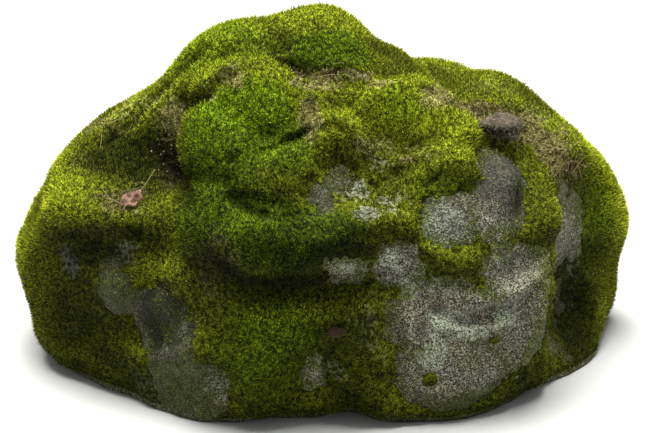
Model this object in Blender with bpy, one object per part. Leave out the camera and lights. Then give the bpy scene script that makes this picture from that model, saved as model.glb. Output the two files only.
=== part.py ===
"""Mossy granite boulder, as it stands once cut off flat at the ground.

Metres, +Z up, the front faces -Y. The origin is the middle of the flat base.
The boulder is one stone. The moss is a thick mat that lies on it and follows
its lumps, with small patches that grow apart from the mat. A loose stone lies
on the right shoulder and a scrap of bark low on the front.
"""

import bmesh
import bpy
import numpy as np
from mathutils import Matrix, Vector, noise

# All places below are measured from a peg under the stone, a little off its middle.
# MIDDLE is the middle of the whole rock's footprint, and becomes the origin.
MIDDLE = (-0.0036, 0.0348, 0.0)

# ---------------------------------------------------------------- the boulder
# Every point of the surface lies on a line out of HEART, which is inside the stone.
HEART = (0.01, -0.01, 0.22)
REACH = 1.1  # farther from HEART than any point of the stone
MESH_CUTS = 12  # of each edge of the twenty-sided ball that the stone is drawn on
FRONT_FINENESS = 0.46  # how much closer the mesh's points stand on the front side
BASE_SNAP = 0.010  # points this near the ground are put on it, so that the cut is clean

# Round masses that grow into each other: place, half sizes, softness of the join.
MASSES = {
    "body": ((0.00, 0.03, 0.14), (0.560, 0.360, 0.350), 0.05),
    "crown": ((0.008, 0.05, 0.44), (0.110, 0.160, 0.195), 0.07),
    "crown_left": ((-0.150, 0.05, 0.41), (0.155, 0.190, 0.205), 0.08),
    "left_shoulder": ((-0.300, 0.06, 0.28), (0.190, 0.230, 0.185), 0.10),
    "left_flank": ((-0.425, 0.03, 0.18), (0.145, 0.210, 0.155), 0.08),
    "right_saddle": ((0.170, 0.08, 0.38), (0.190, 0.200, 0.170), 0.09),
    "right_shoulder": ((0.335, 0.10, 0.325), (0.115, 0.200, 0.150), 0.07),
    "right_flank": ((0.455, 0.06, 0.20), (0.150, 0.220, 0.180), 0.08),
    "front_ridge": ((-0.060, -0.16, 0.25), (0.170, 0.190, 0.200), 0.10),
    "granite_nose": ((0.240, -0.14, 0.20), (0.180, 0.190, 0.250), 0.06),
    "left_foot": ((-0.225, -0.14, 0.06), (0.220, 0.190, 0.190), 0.08),
    "left_heel": ((-0.390, 0.03, 0.05), (0.150, 0.160, 0.150), 0.08),
    "right_foot": ((0.440, 0.03, 0.06), (0.150, 0.170, 0.160), 0.08),
    "front_foot": ((0.120, -0.14, 0.05), (0.260, 0.210, 0.160), 0.08),
    "back_lump": ((0.080, 0.25, 0.18), (0.300, 0.150, 0.210), 0.10),
    "back_left_lump": ((-0.270, 0.20, 0.14), (0.200, 0.160, 0.200), 0.09),
}

# Flat faces that the stone split along: a point on the face, its outward slope, softness.
SPLIT_FACES = {
    "nose_front": ((0.250, -0.335, 0.15), (0.06, -1.0, 0.14), 0.030),
    "nose_side": ((0.420, -0.200, 0.22), (1.0, -0.44, 0.10), 0.024),
    "left_dark_face": ((-0.330, -0.270, 0.15), (-0.75, -1.0, 0.05), 0.030),
    "back_face": ((0.100, 0.395, 0.20), (0.05, 1.0, 0.12), 0.040),
}

# Smaller relief: place, half sizes of the spot it covers, how far it stands out.
RELIEF = {
    "left_crest_low": ((-0.49, -0.02, 0.37), (0.10, 0.08, 0.10), 0.012),
    "left_crest_mid": ((-0.42, -0.02, 0.45), (0.10, 0.07, 0.08), 0.016),
    "left_crest_high": ((-0.32, -0.02, 0.52), (0.11, 0.07, 0.07), 0.014),
    "left_hollow": ((-0.335, -0.13, 0.43), (0.11, 0.15, 0.13), -0.080),
    "left_bulge": ((-0.44, -0.16, 0.32), (0.13, 0.11, 0.07), 0.036),
    "left_recess": ((-0.36, -0.24, 0.29), (0.13, 0.11, 0.05), -0.032),
    "pale_boss": ((-0.39, -0.24, 0.22), (0.07, 0.09, 0.08), 0.034),
    "boss_underside": ((-0.39, -0.27, 0.14), (0.08, 0.10, 0.05), -0.026),
    "slanted_edge_top": ((-0.27, -0.30, 0.23), (0.06, 0.09, 0.07), 0.020),
    "slanted_edge_low": ((-0.23, -0.33, 0.14), (0.06, 0.09, 0.07), 0.022),
    "front_roll": ((-0.02, -0.32, 0.34), (0.25, 0.12, 0.07), 0.020),
    "under_roll": ((0.00, -0.35, 0.255), (0.26, 0.12, 0.055), -0.030),
    "front_valley": ((0.10, -0.25, 0.41), (0.12, 0.12, 0.06), -0.024),
    "nose_brow": ((0.35, -0.15, 0.43), (0.09, 0.09, 0.06), 0.018),
    "nose_bowl": ((0.35, -0.28, 0.31), (0.11, 0.11, 0.05), -0.016),
    "bowl_lip": ((0.33, -0.30, 0.235), (0.13, 0.10, 0.035), 0.012),
    "nose_foot": ((0.22, -0.33, 0.16), (0.12, 0.10, 0.12), 0.014),
    "side_recess": ((0.48, -0.14, 0.14), (0.09, 0.16, 0.17), -0.060),
    "side_gully": ((0.47, -0.15, 0.34), (0.05, 0.12, 0.14), -0.024),
    "right_boss": ((0.54, -0.08, 0.27), (0.09, 0.11, 0.09), 0.026),
    "right_brow": ((0.61, 0.04, 0.235), (0.13, 0.20, 0.12), 0.076),
    "right_waist": ((0.62, 0.02, 0.10), (0.10, 0.16, 0.050), -0.024),
    "right_front_toe": ((0.51, -0.09, 0.01), (0.14, 0.16, 0.08), 0.042),
    "behind_crown": ((0.10, 0.04, 0.60), (0.08, 0.14, 0.06), -0.012),
    "crown_left_top": ((-0.065, 0.03, 0.63), (0.10, 0.13, 0.09), 0.028),
    "upper_right_dip": ((0.235, 0.13, 0.55), (0.10, 0.26, 0.11), -0.060),
    "crown_step": ((0.04, -0.09, 0.57), (0.13, 0.07, 0.06), -0.030),
    "shoulder_dimple": ((-0.17, -0.07, 0.58), (0.06, 0.05, 0.05), -0.020),
    "back_hollow": ((-0.12, 0.38, 0.32), (0.10, 0.15, 0.17), -0.050),
    "back_ledge": ((0.24, 0.36, 0.30), (0.16, 0.10, 0.06), 0.028),
    "back_notch": ((0.22, 0.40, 0.19), (0.16, 0.10, 0.06), -0.030),
    "outer_left_groove": ((-0.42, 0.05, 0.44), (0.13, 0.06, 0.10), -0.014),
    "front_notch": ((0.045, -0.34, 0.00), (0.07, 0.12, 0.09), -0.040),
    "left_front_toe": ((-0.170, -0.34, 0.02), (0.13, 0.12, 0.09), 0.018),
    "left_dent": ((-0.45, -0.20, 0.08), (0.14, 0.14, 0.10), -0.030),
    "left_upper_dent": ((-0.61, 0.04, 0.29), (0.12, 0.20, 0.10), -0.062),
    "left_end_toe": ((-0.51, -0.13, 0.02), (0.10, 0.12, 0.06), 0.020),
    "left_front_dent": ((-0.38, -0.27, 0.03), (0.10, 0.12, 0.08), -0.024),
    "left_waist": ((-0.60, 0.02, 0.10), (0.10, 0.18, 0.09), -0.036),
    "nose_ridge_high": ((0.42, -0.20, 0.33), (0.05, 0.10, 0.10), 0.022),
    "nose_ridge_low": ((0.40, -0.27, 0.17), (0.05, 0.10, 0.12), 0.022),
    "back_rib": ((0.00, 0.40, 0.22), (0.09, 0.12, 0.20), 0.030),
    "back_right_shoulder": ((0.34, 0.28, 0.34), (0.14, 0.14, 0.09), 0.032),
    "back_right_dent": ((0.44, 0.24, 0.14), (0.13, 0.15, 0.11), -0.034),
    "back_left_rib": ((-0.32, 0.26, 0.24), (0.09, 0.13, 0.17), 0.030),
    "back_left_dent": ((-0.46, 0.18, 0.14), (0.12, 0.15, 0.10), -0.034),
    "top_back_saddle": ((-0.05, 0.17, 0.60), (0.10, 0.13, 0.11), -0.034),
    "top_right_knob": ((0.24, 0.20, 0.48), (0.11, 0.11, 0.09), 0.020),
    "left_side_knob": ((-0.54, 0.18, 0.25), (0.10, 0.11, 0.09), 0.016),
    "right_side_dent": ((0.56, 0.22, 0.24), (0.10, 0.09, 0.14), -0.026),
}

GRAIN = ((0.22, 0.012), (0.09, 0.006))  # unevenness of the stone: wave length, height

# ------------------------------------------------------------------- the moss
MOSS_GAP = 0.0004  # between the mat and the stone
MOSS_THICK = 0.020  # of the mat away from its cushions
MOSS_RIM = 0.005  # of the mat at its rim
RIM_WIDTH = 0.042  # over which the mat thins towards its rim
HEM_HEIGHT = 0.012  # the mat ends this far above the ground
RIM_CLEAR = 0.25  # share of an edge that the rim keeps clear of the mesh points
STEEPEST = 0.5  # least share by which the surface faces away from HEART, for thicknesses

# Cushions that swell out of the mat: place, half sizes, height over the mat.
CUSHIONS = {
    "crown": ((0.02, 0.03, 0.62), (0.13, 0.15, 0.12), 0.014),
    "shoulder": ((-0.17, 0.02, 0.60), (0.13, 0.10, 0.09), 0.014),
    "big_cushion_top": ((-0.135, -0.12, 0.53), (0.115, 0.11, 0.075), 0.044),
    "big_cushion": ((-0.180, -0.17, 0.46), (0.085, 0.12, 0.085), 0.048),
    "big_cushion_foot": ((-0.20, -0.26, 0.37), (0.070, 0.10, 0.110), 0.034),
    "olive_lump_left": ((-0.085, -0.24, 0.435), (0.090, 0.10, 0.055), 0.034),
    "olive_lump_mid": ((0.025, -0.18, 0.475), (0.075, 0.09, 0.060), 0.034),
    "roll_left": ((-0.12, -0.32, 0.335), (0.110, 0.11, 0.075), 0.036),
    "roll_mid": ((0.00, -0.32, 0.335), (0.110, 0.11, 0.062), 0.034),
    "roll_right": ((0.09, -0.30, 0.345), (0.080, 0.10, 0.045), 0.024),
    "terrace_left": ((0.05, -0.10, 0.545), (0.090, 0.07, 0.055), 0.024),
    "terrace_mid": ((0.155, -0.11, 0.505), (0.115, 0.09, 0.068), 0.050),
    "terrace_right": ((0.235, -0.125, 0.475), (0.085, 0.08, 0.050), 0.032),
    "nose_cushion": ((0.21, -0.22, 0.435), (0.095, 0.10, 0.060), 0.026),
    "right_cushion": ((0.54, -0.07, 0.28), (0.090, 0.12, 0.100), 0.038),
    "right_top": ((0.46, 0.00, 0.42), (0.120, 0.12, 0.080), 0.022),
    "left_bulge": ((-0.45, -0.14, 0.34), (0.120, 0.12, 0.080), 0.020),
    "front_flank": ((-0.10, -0.35, 0.13), (0.110, 0.10, 0.110), 0.022),
    "front_flank_right": ((0.02, -0.35, 0.09), (0.090, 0.10, 0.080), 0.016),
    "back_left": ((-0.30, 0.28, 0.32), (0.120, 0.12, 0.090), 0.034),
    "back_mid": ((0.03, 0.33, 0.40), (0.120, 0.12, 0.080), 0.036),
    "back_low": ((-0.08, 0.40, 0.14), (0.120, 0.10, 0.090), 0.024),
    "back_right": ((0.38, 0.27, 0.32), (0.110, 0.12, 0.080), 0.034),
    "back_left_low": ((-0.36, 0.26, 0.14), (0.100, 0.12, 0.080), 0.028),
    "back_rib": ((0.00, 0.41, 0.24), (0.090, 0.10, 0.070), 0.030),
    "back_high_left": ((-0.18, 0.22, 0.50), (0.110, 0.10, 0.080), 0.030),
    "back_high_right": ((0.20, 0.24, 0.46), (0.110, 0.10, 0.080), 0.030),
    "back_right_low": ((0.46, 0.20, 0.16), (0.080, 0.12, 0.080), 0.026),
    "left_end": ((-0.58, 0.10, 0.22), (0.080, 0.12, 0.100), 0.018),
    "top_right": ((0.32, 0.10, 0.50), (0.100, 0.10, 0.070), 0.012),
}

# Places where the stone shows: place, half sizes.
BARE = {
    "nose_top": ((0.33, -0.18, 0.43), (0.060, 0.09, 0.055)),
    "nose_middle": ((0.31, -0.25, 0.375), (0.075, 0.10, 0.060)),
    "lichen_face": ((0.22, -0.28, 0.365), (0.055, 0.09, 0.050)),
    "bowl": ((0.345, -0.28, 0.275), (0.085, 0.11, 0.055)),
    "centre": ((0.21, -0.33, 0.205), (0.115, 0.11, 0.078)),
    "foot": ((0.23, -0.33, 0.100), (0.110, 0.11, 0.075)),
    "pale_left": ((0.13, -0.31, 0.290), (0.045, 0.09, 0.045)),
    "low_right": ((0.35, -0.29, 0.170), (0.055, 0.11, 0.100)),
    "side_face": ((0.466, -0.14, 0.262), (0.050, 0.14, 0.105)),
    "side_recess": ((0.46, -0.18, 0.140), (0.050, 0.12, 0.110)),
    "under_lump": ((0.005, -0.27, 0.415), (0.034, 0.08, 0.030)),
    "under_roll": ((0.035, -0.33, 0.285), (0.040, 0.09, 0.034)),
    "low_front": ((-0.02, -0.34, 0.095), (0.026, 0.08, 0.030)),
    "left_boss": ((-0.39, -0.25, 0.225), (0.045, 0.09, 0.065)),
    "left_dark": ((-0.30, -0.31, 0.150), (0.070, 0.10, 0.080)),
    "left_foot": ((-0.25, -0.33, 0.060), (0.070, 0.10, 0.065)),
    "back_ledge": ((0.24, 0.40, 0.19), (0.120, 0.10, 0.070)),
    "back_foot": ((-0.30, 0.34, 0.07), (0.090, 0.10, 0.060)),
}
RIM_WANDER = ((0.07, 0.012), (0.03, 0.006))  # raggedness of the rim: wave length, width

# Small cushions that grow on bare stone, apart from the mat: place, half sizes.
TUFTS = {
    "moss_tuft_front": ((0.187, -0.345, 0.088), (0.018, 0.012, 0.017)),
    "moss_tuft_back": ((0.250, 0.375, 0.185), (0.030, 0.016, 0.024)),
}
TUFT_GRAIN = ((0.02, 0.002),)

# Loose things that lie on the mat: place, half sizes, unevenness (wave length, height).
LYING_GAP = 0.0004
STONE_PLACE, STONE_HALF = (0.324, -0.080, 0.481), (0.048, 0.031, 0.024)
STONE_POINT = 0.55  # how much narrower the stone is at its left end
STONE_GRAIN = ((0.055, 0.014), (0.020, 0.004))
CHIP_PLACE, CHIP_HALF = (0.020, -0.368, 0.191), (0.017, 0.009, 0.010)
CHIP_GRAIN = ((0.016, 0.005), (0.007, 0.002))

# ------------------------------------------------------------- colours, finish
# Colour, roughness and metallic value of each piece's surface.
FINISHES = {
    "granite": ((0.21, 0.20, 0.18), 0.85, 0.0),
    "moss": ((0.11, 0.20, 0.02), 0.95, 0.0),
    "loose_stone": ((0.20, 0.17, 0.15), 0.80, 0.0),
    "bark": ((0.12, 0.07, 0.04), 0.90, 0.0),
}


# ------------------------------------------------------------------ the fields
def ellipsoid(points, middle, half):
    """Distance of the points from a round mass, negative inside it."""
    out = (points - np.array(middle)) / np.array(half)
    near = np.linalg.norm(out, axis=1)
    return near * (near - 1.0) / np.linalg.norm(out / np.array(half), axis=1).clip(1e-9)


def blended(first, second, softness):
    """The smaller of two values, with a soft fillet where they cross."""
    share = (0.5 + 0.5 * (second - first) / softness).clip(0, 1)
    return second * (1 - share) + first * share - softness * share * (1 - share)


def from_middle(points, middle, half):
    """0 in the middle of a spot, 1 on its rim."""
    return np.linalg.norm((points - np.array(middle)) / np.array(half), axis=1)


def waves(points, lengths_and_heights):
    """Smooth random unevenness, the same on every run."""
    heights = np.zeros(len(points))
    for index, point in enumerate(points):
        for length, height in lengths_and_heights:
            heights[index] += height * noise.noise(Vector(point) / length)
    return heights


def stone_distance(points):
    """Distance of the points from the stone's surface, before relief and grain."""
    found = None
    for middle, half, softness in MASSES.values():
        mass = ellipsoid(points, middle, half)
        found = mass if found is None else blended(found, mass, softness)
    for point, slope, softness in SPLIT_FACES.values():
        normal = np.array(slope) / np.linalg.norm(slope)
        beyond = (points - np.array(point)) @ normal
        found = -blended(-found, -beyond, softness)
    return found


def stone_points(directions):
    """Where the lines out of HEART along these directions leave the stone."""
    heart = np.array(HEART)
    along = np.full(len(directions), REACH)
    for _ in range(60):
        along -= 0.85 * stone_distance(heart + along[:, None] * directions)
    points = heart + along[:, None] * directions
    rise = waves(points, GRAIN)
    for middle, half, height in RELIEF.values():
        rise += height * (1 - from_middle(points, middle, half).clip(0, 1) ** 2) ** 2
    return points + rise[:, None] * directions


def moss_cover(points):
    """How far inside the mat's rim the points are, negative where the stone is bare."""
    cover = points[:, 2] - HEM_HEIGHT
    for middle, half in BARE.values():
        away = (from_middle(points, middle, half) - 1.0) * min(half)
        cover = blended(cover, away, 0.010)
    return cover + waves(points, RIM_WANDER) * (points[:, 2] > 2 * HEM_HEIGHT)


def moss_thickness(points, cover):
    """Thickness of the mat, with its cushions, thinned towards the rim."""
    thick = np.full(len(points), MOSS_THICK)
    for middle, half, height in CUSHIONS.values():
        swell = 1 - from_middle(points, middle, half).clip(0, 1) ** 2
        cushion = MOSS_THICK + height * np.sqrt(swell)
        thick = -blended(-thick, -cushion, 0.008)
    share = (cover / RIM_WIDTH).clip(0, 1)
    return MOSS_RIM + (thick - MOSS_RIM) * np.sqrt(1 - (1 - share) ** 2)


# ------------------------------------------------------------------ the meshes
def clear_scene():
    for obj in list(bpy.data.objects):
        bpy.data.objects.remove(obj, do_unlink=True)


def finish(name):
    """The material of one kind of surface, made on first use."""
    material = bpy.data.materials.get(name)
    if material is None:
        colour, roughness, metallic = FINISHES[name]
        material = bpy.data.materials.new(name)
        material.use_nodes = True
        surface = material.node_tree.nodes["Principled BSDF"]
        surface.inputs["Base Color"].default_value = (*colour, 1.0)
        surface.inputs["Roughness"].default_value = roughness
        surface.inputs["Metallic"].default_value = metallic
    return material


def add_object(name, mesh, material):
    mesh.materials.append(material)
    for face in mesh.polygons:
        face.use_smooth = True
    obj = bpy.data.objects.new(name, mesh)
    bpy.context.scene.collection.objects.link(obj)
    return obj


def round_mesh():
    """Directions and triangles of a ball whose points crowd towards the front."""
    ball = bmesh.new()
    bmesh.ops.create_icosphere(ball, subdivisions=1, radius=1.0)
    bmesh.ops.subdivide_edges(ball, edges=ball.edges, cuts=MESH_CUTS, use_grid_fill=True)
    bmesh.ops.triangulate(ball, faces=ball.faces)
    directions = np.array([v.co.normalized() for v in ball.verts])
    faces = np.array([[v.index for v in f.verts] for f in ball.faces])
    ball.free()
    directions += np.array((0.0, -FRONT_FINENESS, 0.0))
    return directions / np.linalg.norm(directions, axis=1)[:, None], faces


def boulder_mesh():
    """The stone, cut off flat at the ground."""
    directions, faces = round_mesh()
    points = stone_points(directions)
    points[np.abs(points[:, 2]) < BASE_SNAP, 2] = 0.0
    stone = bmesh.new()
    corners = [stone.verts.new(p) for p in points]
    for face in faces:
        stone.faces.new([corners[i] for i in face])
    everything = stone.verts[:] + stone.edges[:] + stone.faces[:]
    bmesh.ops.bisect_plane(
        stone, geom=everything, dist=1e-6, plane_co=(0, 0, 0), plane_no=(0, 0, 1), clear_inner=True
    )
    bmesh.ops.dissolve_degenerate(stone, dist=0.002, edges=stone.edges)
    open_edges = [e for e in stone.edges if e.is_boundary]
    bmesh.ops.contextual_create(stone, geom=open_edges)
    bmesh.ops.triangulate(stone, faces=stone.faces)
    bmesh.ops.recalc_face_normals(stone, faces=stone.faces)
    mesh = bpy.data.meshes.new("boulder")
    stone.to_mesh(mesh)
    stone.free()
    return mesh


def rim_cuts(cover, faces):
    """New points where the mat's rim crosses an edge: {edge: number}, ends, share of the way."""
    numbers, ends, shares = {}, [], []
    for face in faces:
        for a, b in zip(face, np.roll(face, -1)):
            edge = (min(a, b), max(a, b))
            if edge not in numbers and cover[a] * cover[b] < 0:
                numbers[edge] = len(cover) + len(ends)
                share = cover[edge[0]] / (cover[edge[0]] - cover[edge[1]])
                ends.append(edge)
                shares.append(min(max(share, RIM_CLEAR), 1 - RIM_CLEAR))
    return numbers, np.array(ends), np.array(shares)[:, None]


def covered_part(faces, cover, numbers):
    """The triangles inside the rim, and the edges of the rim in order."""
    kept, rim = [], []
    for face in faces:
        shape = []
        for a, b in zip(face, np.roll(face, -1)):
            if cover[a] > 0:
                shape.append(a)
            if cover[a] * cover[b] < 0:
                shape.append(numbers[min(a, b), max(a, b)])
        for i in range(1, len(shape) - 1):
            kept.append((shape[0], shape[i], shape[i + 1]))
        cut = [i for i in shape if i >= len(cover)]
        if cut:
            first, second = cut
            if shape[(shape.index(first) + 1) % len(shape)] != second:
                first, second = second, first
            rim.append((first, second))
    return kept, rim


def largest_sheet(kept, rim):
    """Only the triangles and rim edges of the largest connected sheet."""
    leader = {}

    def find(corner):
        while leader.setdefault(corner, corner) != corner:
            corner = leader[corner]
        return corner

    for a, b, c in kept:
        leader[find(b)] = find(a)
        leader[find(c)] = find(a)
    sizes = {}
    for face in kept:
        sizes[find(face[0])] = sizes.get(find(face[0]), 0) + 1
    main_sheet = max(sizes, key=sizes.get)
    kept = [face for face in kept if find(face[0]) == main_sheet]
    return kept, [edge for edge in rim if find(edge[0]) == main_sheet]


def moss_mesh(name, stone):
    """A mat on the stone: its underside follows the stone, its top swells into cushions."""
    points = np.array([v.co for v in stone.vertices])
    normals = np.array([v.normal for v in stone.vertices])
    faces = np.array([list(f.vertices) for f in stone.polygons])
    cover = moss_cover(points)
    numbers, ends, shares = rim_cuts(cover, faces)
    kept, rim = largest_sheet(*covered_part(faces, cover, numbers))

    def with_cuts(values):
        return np.concatenate([values, values[ends[:, 0]] * (1 - shares) + values[ends[:, 1]] * shares])

    out = points - np.array(HEART)
    far = np.linalg.norm(out, axis=1)[:, None]
    facing = (normals * out / far).sum(1).clip(STEEPEST, 1)[:, None]
    under = with_cuts(points + out / far * MOSS_GAP / facing)
    thick = moss_thickness(under, np.concatenate([cover, np.zeros(len(ends))]))
    out = under - np.array(HEART)
    top = under + out / np.linalg.norm(out, axis=1)[:, None] * thick[:, None] / with_cuts(facing)

    used = sorted({i for face in kept for i in face})
    low = {old: new for new, old in enumerate(used)}
    high = {old: new + len(used) for new, old in enumerate(used)}
    shell = [[high[i] for i in face] for face in kept]
    shell += [[low[i] for i in reversed(face)] for face in kept]
    for a, b in rim:
        shell += [[high[b], high[a], low[a]], [high[b], low[a], low[b]]]
    mesh = bpy.data.meshes.new(name)
    mesh.from_pydata([tuple(p) for p in np.concatenate([under[used], top[used]])], [], shell)
    return mesh


def lump_mesh(name, place, half, grain, fineness, left_end=1.0):
    """A small uneven lump, its left end narrowed to the given share."""
    lump = bmesh.new()
    bmesh.ops.create_icosphere(lump, subdivisions=fineness, radius=1.0)
    bmesh.ops.recalc_face_normals(lump, faces=lump.faces)
    round_points = np.array([v.co for v in lump.verts])
    narrowing = 1 - (1 - left_end) * (-round_points[:, :1]).clip(0, 1)
    points = round_points * np.array(half) * np.concatenate([np.ones_like(narrowing), narrowing, narrowing], 1)
    points += round_points * waves(points + np.array(place), grain)[:, None]
    for vertex, point in zip(lump.verts, points + np.array(place)):
        vertex.co = point
    mesh = bpy.data.meshes.new(name)
    lump.to_mesh(mesh)
    lump.free()
    return mesh


def cut_away(obj, mesh, gap):
    """Takes a shape, grown by a gap along its normals, out of an object."""
    grown = mesh.copy()
    for vertex, normal in zip(grown.vertices, [n.vector.copy() for n in mesh.vertex_normals]):
        vertex.co = vertex.co + normal * gap
    cutter = bpy.data.objects.new(mesh.name + "_cutter", grown)
    bpy.context.scene.collection.objects.link(cutter)
    cutter.hide_render = True
    cut = obj.modifiers.new("cut " + mesh.name, "BOOLEAN")
    cut.operation, cut.solver, cut.object = "DIFFERENCE", "EXACT", cutter


def main():
    clear_scene()
    stone = boulder_mesh()
    add_object("boulder", stone, finish("granite"))
    mat = add_object("moss_blanket", moss_mesh("moss_blanket", stone), finish("moss"))
    for name, (place, half) in TUFTS.items():
        tuft = add_object(name, lump_mesh(name, place, half, TUFT_GRAIN, 2), finish("moss"))
        cut_away(tuft, stone, MOSS_GAP)
    pebble = lump_mesh("loose_stone", STONE_PLACE, STONE_HALF, STONE_GRAIN, 3, STONE_POINT)
    add_object("loose_stone", pebble, finish("loose_stone"))
    chip = lump_mesh("bark_chip", CHIP_PLACE, CHIP_HALF, CHIP_GRAIN, 2)
    add_object("bark_chip", chip, finish("bark"))
    for mesh in (pebble, chip):
        cut_away(mat, mesh, LYING_GAP)
    for mesh in bpy.data.meshes:
        mesh.transform(Matrix.Translation(-Vector(MIDDLE)))


if __name__ == "__main__":
    main()
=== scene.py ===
"""Mossy granite boulder: the finely modelled stone, its mat of moss, the shoots and what lies on them.

Metres, +Z up, the front faces -Y. Each operator makes one piece or one group of like pieces,
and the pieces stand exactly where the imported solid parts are.
"""

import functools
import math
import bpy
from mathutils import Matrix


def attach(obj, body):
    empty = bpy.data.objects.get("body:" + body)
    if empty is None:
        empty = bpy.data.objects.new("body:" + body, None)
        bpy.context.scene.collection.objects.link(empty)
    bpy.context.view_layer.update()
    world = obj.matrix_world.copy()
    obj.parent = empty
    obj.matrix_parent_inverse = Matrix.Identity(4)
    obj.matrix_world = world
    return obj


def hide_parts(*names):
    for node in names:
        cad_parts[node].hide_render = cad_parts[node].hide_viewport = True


bl_info = {
    "name": "Mossy Boulder",
    "version": (1, 0, 0),
    "blender": (4, 5, 0),
    "location": "View3D > Sidebar > Boulder",
    "description": "Builds a granite boulder with a mat of moss, a loose stone, bark and litter",
    "category": "Add Mesh",
}

import bmesh
import bpy
import numpy as np
from bpy.props import FloatProperty, FloatVectorProperty, PointerProperty
from mathutils import Vector, noise
from mathutils.bvhtree import BVHTree

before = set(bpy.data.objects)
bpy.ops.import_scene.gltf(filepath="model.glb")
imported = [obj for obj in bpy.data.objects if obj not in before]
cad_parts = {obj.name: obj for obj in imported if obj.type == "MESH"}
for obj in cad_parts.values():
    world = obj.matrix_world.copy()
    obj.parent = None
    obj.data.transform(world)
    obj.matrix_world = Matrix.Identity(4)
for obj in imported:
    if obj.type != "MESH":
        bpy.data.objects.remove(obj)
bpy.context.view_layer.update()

# All places are measured from a peg under the stone, a little off its middle. Lengths are in metres,
# except in the tables of named places, which are in millimetres.
MM = 1000
PEG = np.array((0.0036, -0.0348, 0.0))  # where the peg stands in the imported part's frame
HEART = np.array((0.01, -0.01, 0.22))  # inside the stone; every part of its surface faces away from it
MERGE = 1e-5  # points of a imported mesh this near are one

# ------------------------------------------------------------------- the stone
SMOOTHINGS = 2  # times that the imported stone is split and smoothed
STONE_GRAIN = ((0.050, 0.0045), (0.021, 0.0026), (0.010, 0.0014))  # wave length, height
STONE_FINE_GRAIN = ((0.0062, 0.0011), (0.0034, 0.0006))
STONE_ROUNDS, STONE_PAINTED_SHADE = 40, 52.0  # how wide a neighbourhood tells a hollow, and how fast painted shade darkens a hollow and painted light brightens a ridge
STONE_NIGHT = 0.62  # painted shade: brightness painted on the stone's darkest, downward slopes
STONE_RAGGED = ((0.050, 0.35), (0.020, 0.30), (0.008, 0.2))  # unevenness of the edges of crusts and films
NEAR_MOSS = (-0.034, 0.004)  # cover of the mat between which the green film thickens
GROUND_FADE = 0.015  # the grain fades out over this height above the ground
SHOWING = 0.022  # stone this near to the mat's rim is finely split too

# Swells and hollows of the bare stone: place, half sizes, height (below 0 for a hollow).
STONE_SWELLS = {
    "bowl": (345, -275, 274, 68, 80, 36, -14),
    "tongue": (248, -325, 238, 62, 60, 30, 13),
    "brow": (318, -200, 405, 45, 110, 60, 10),
    "brow_side": (360, -195, 372, 26, 70, 50, -12),
    "face": (225, -285, 350, 50, 60, 35, -6),
    "low_hollow": (285, -330, 120, 40, 60, 60, -7),
    "left_facet": (-385, -250, 225, 45, 70, 50, 10),
    "left_plane": (-310, -295, 165, 60, 70, 65, -9),
}
# Ridges and folds of the stone: width, height (below 0 for a fold), then a line of places.
STONE_LINES = {
    "bowl_rim": (20, 6, (300, -316, 238), (335, -305, 238), (362, -285, 246), (403, -214, 270)),
    "under_rim": (24, -6, (315, -310, 212), (340, -300, 212), (385, -262, 226)),
    "under_tongue": (20, -12, (195, -328, 210), (232, -334, 199), (277, -326, 199), (305, -317, 210)),
    "tongue_left": (14, -9, (185, -320, 270), (200, -322, 240), (208, -330, 212)),
    "column": (34, 7, (116, -301, 300), (144, -307, 246), (150, -332, 179), (155, -343, 90)),
    "column_side": (20, -5, (168, -320, 265), (176, -335, 200), (180, -340, 150)),
    "nose_ridge": (36, 11, (405, -210, 272), (392, -262, 209), (376, -268, 131), (355, -281, 40)),
    "branch": (22, 5, (205, -335, 190), (259, -332, 178), (324, -306, 186)),
    "left_ledge": (30, -14, (-440, -230, 165), (-390, -250, 165), (-340, -270, 175), (-310, -290, 130)),
    "left_edge": (16, -6, (-300, -290, 255), (-330, -270, 200), (-310, -290, 130)),
    "left_plane_rim": (22, 7, (-290, -300, 225), (-262, -318, 180), (-245, -325, 130)),
    "foot_crack": (12, -4, (120, -330, 200), (150, -335, 120), (140, -340, 50)),
    "side_seam": (20, -12, (425, -190, 330), (440, -170, 240), (430, -190, 140), (420, -200, 30)),
    "back_seam": (18, -7, (160, 400, 240), (240, 400, 210), (330, 370, 230)),
}

# Pale crusts of lichen on the stone: place, half sizes, how thick.
LICHEN = {
    "face": (212, -285, 360, 56, 80, 40, 1.15),
    "face_low": (200, -300, 328, 32, 60, 20, 0.90),
    "ledge": (20, -250, 418, 30, 60, 20, 0.45),
    "corner": (118, -302, 302, 24, 60, 22, 1.10),
    "streak_high": (150, -310, 250, 34, 70, 40, 0.62),
    "streak": (215, -335, 196, 46, 70, 24, 1.20),
    "streak_right": (262, -335, 172, 52, 70, 16, 1.05),
    "streak_low": (196, -340, 140, 28, 60, 40, 1.15),
    "facet": (322, -305, 188, 30, 70, 26, 1.05),
    "bowl": (330, -285, 292, 80, 70, 34, 0.30),
    "bowl_edge": (392, -235, 275, 12, 50, 30, 0.25),
    "brow": (372, -150, 392, 40, 50, 30, 0.55),
    "centre": (190, -320, 262, 50, 70, 34, 0.45),
    "roll_foot": (40, -320, 288, 34, 60, 26, 0.85),
    "low_front": (-12, -340, 96, 22, 60, 24, 0.62),
    "left_boss": (-385, -245, 212, 34, 60, 30, 0.55),
    "left_edge": (-250, -325, 180, 16, 60, 60, 0.62),
    "left_foot": (-262, -326, 75, 70, 60, 45, 0.42),
    "left_plane": (-320, -290, 110, 30, 60, 30, 0.38),
    "side": (450, -165, 280, 26, 70, 70, 0.45),
    "back": (270, 390, 180, 80, 70, 40, 0.70),
    "back_low": (-300, 340, 60, 60, 70, 35, 0.60),
}
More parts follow.
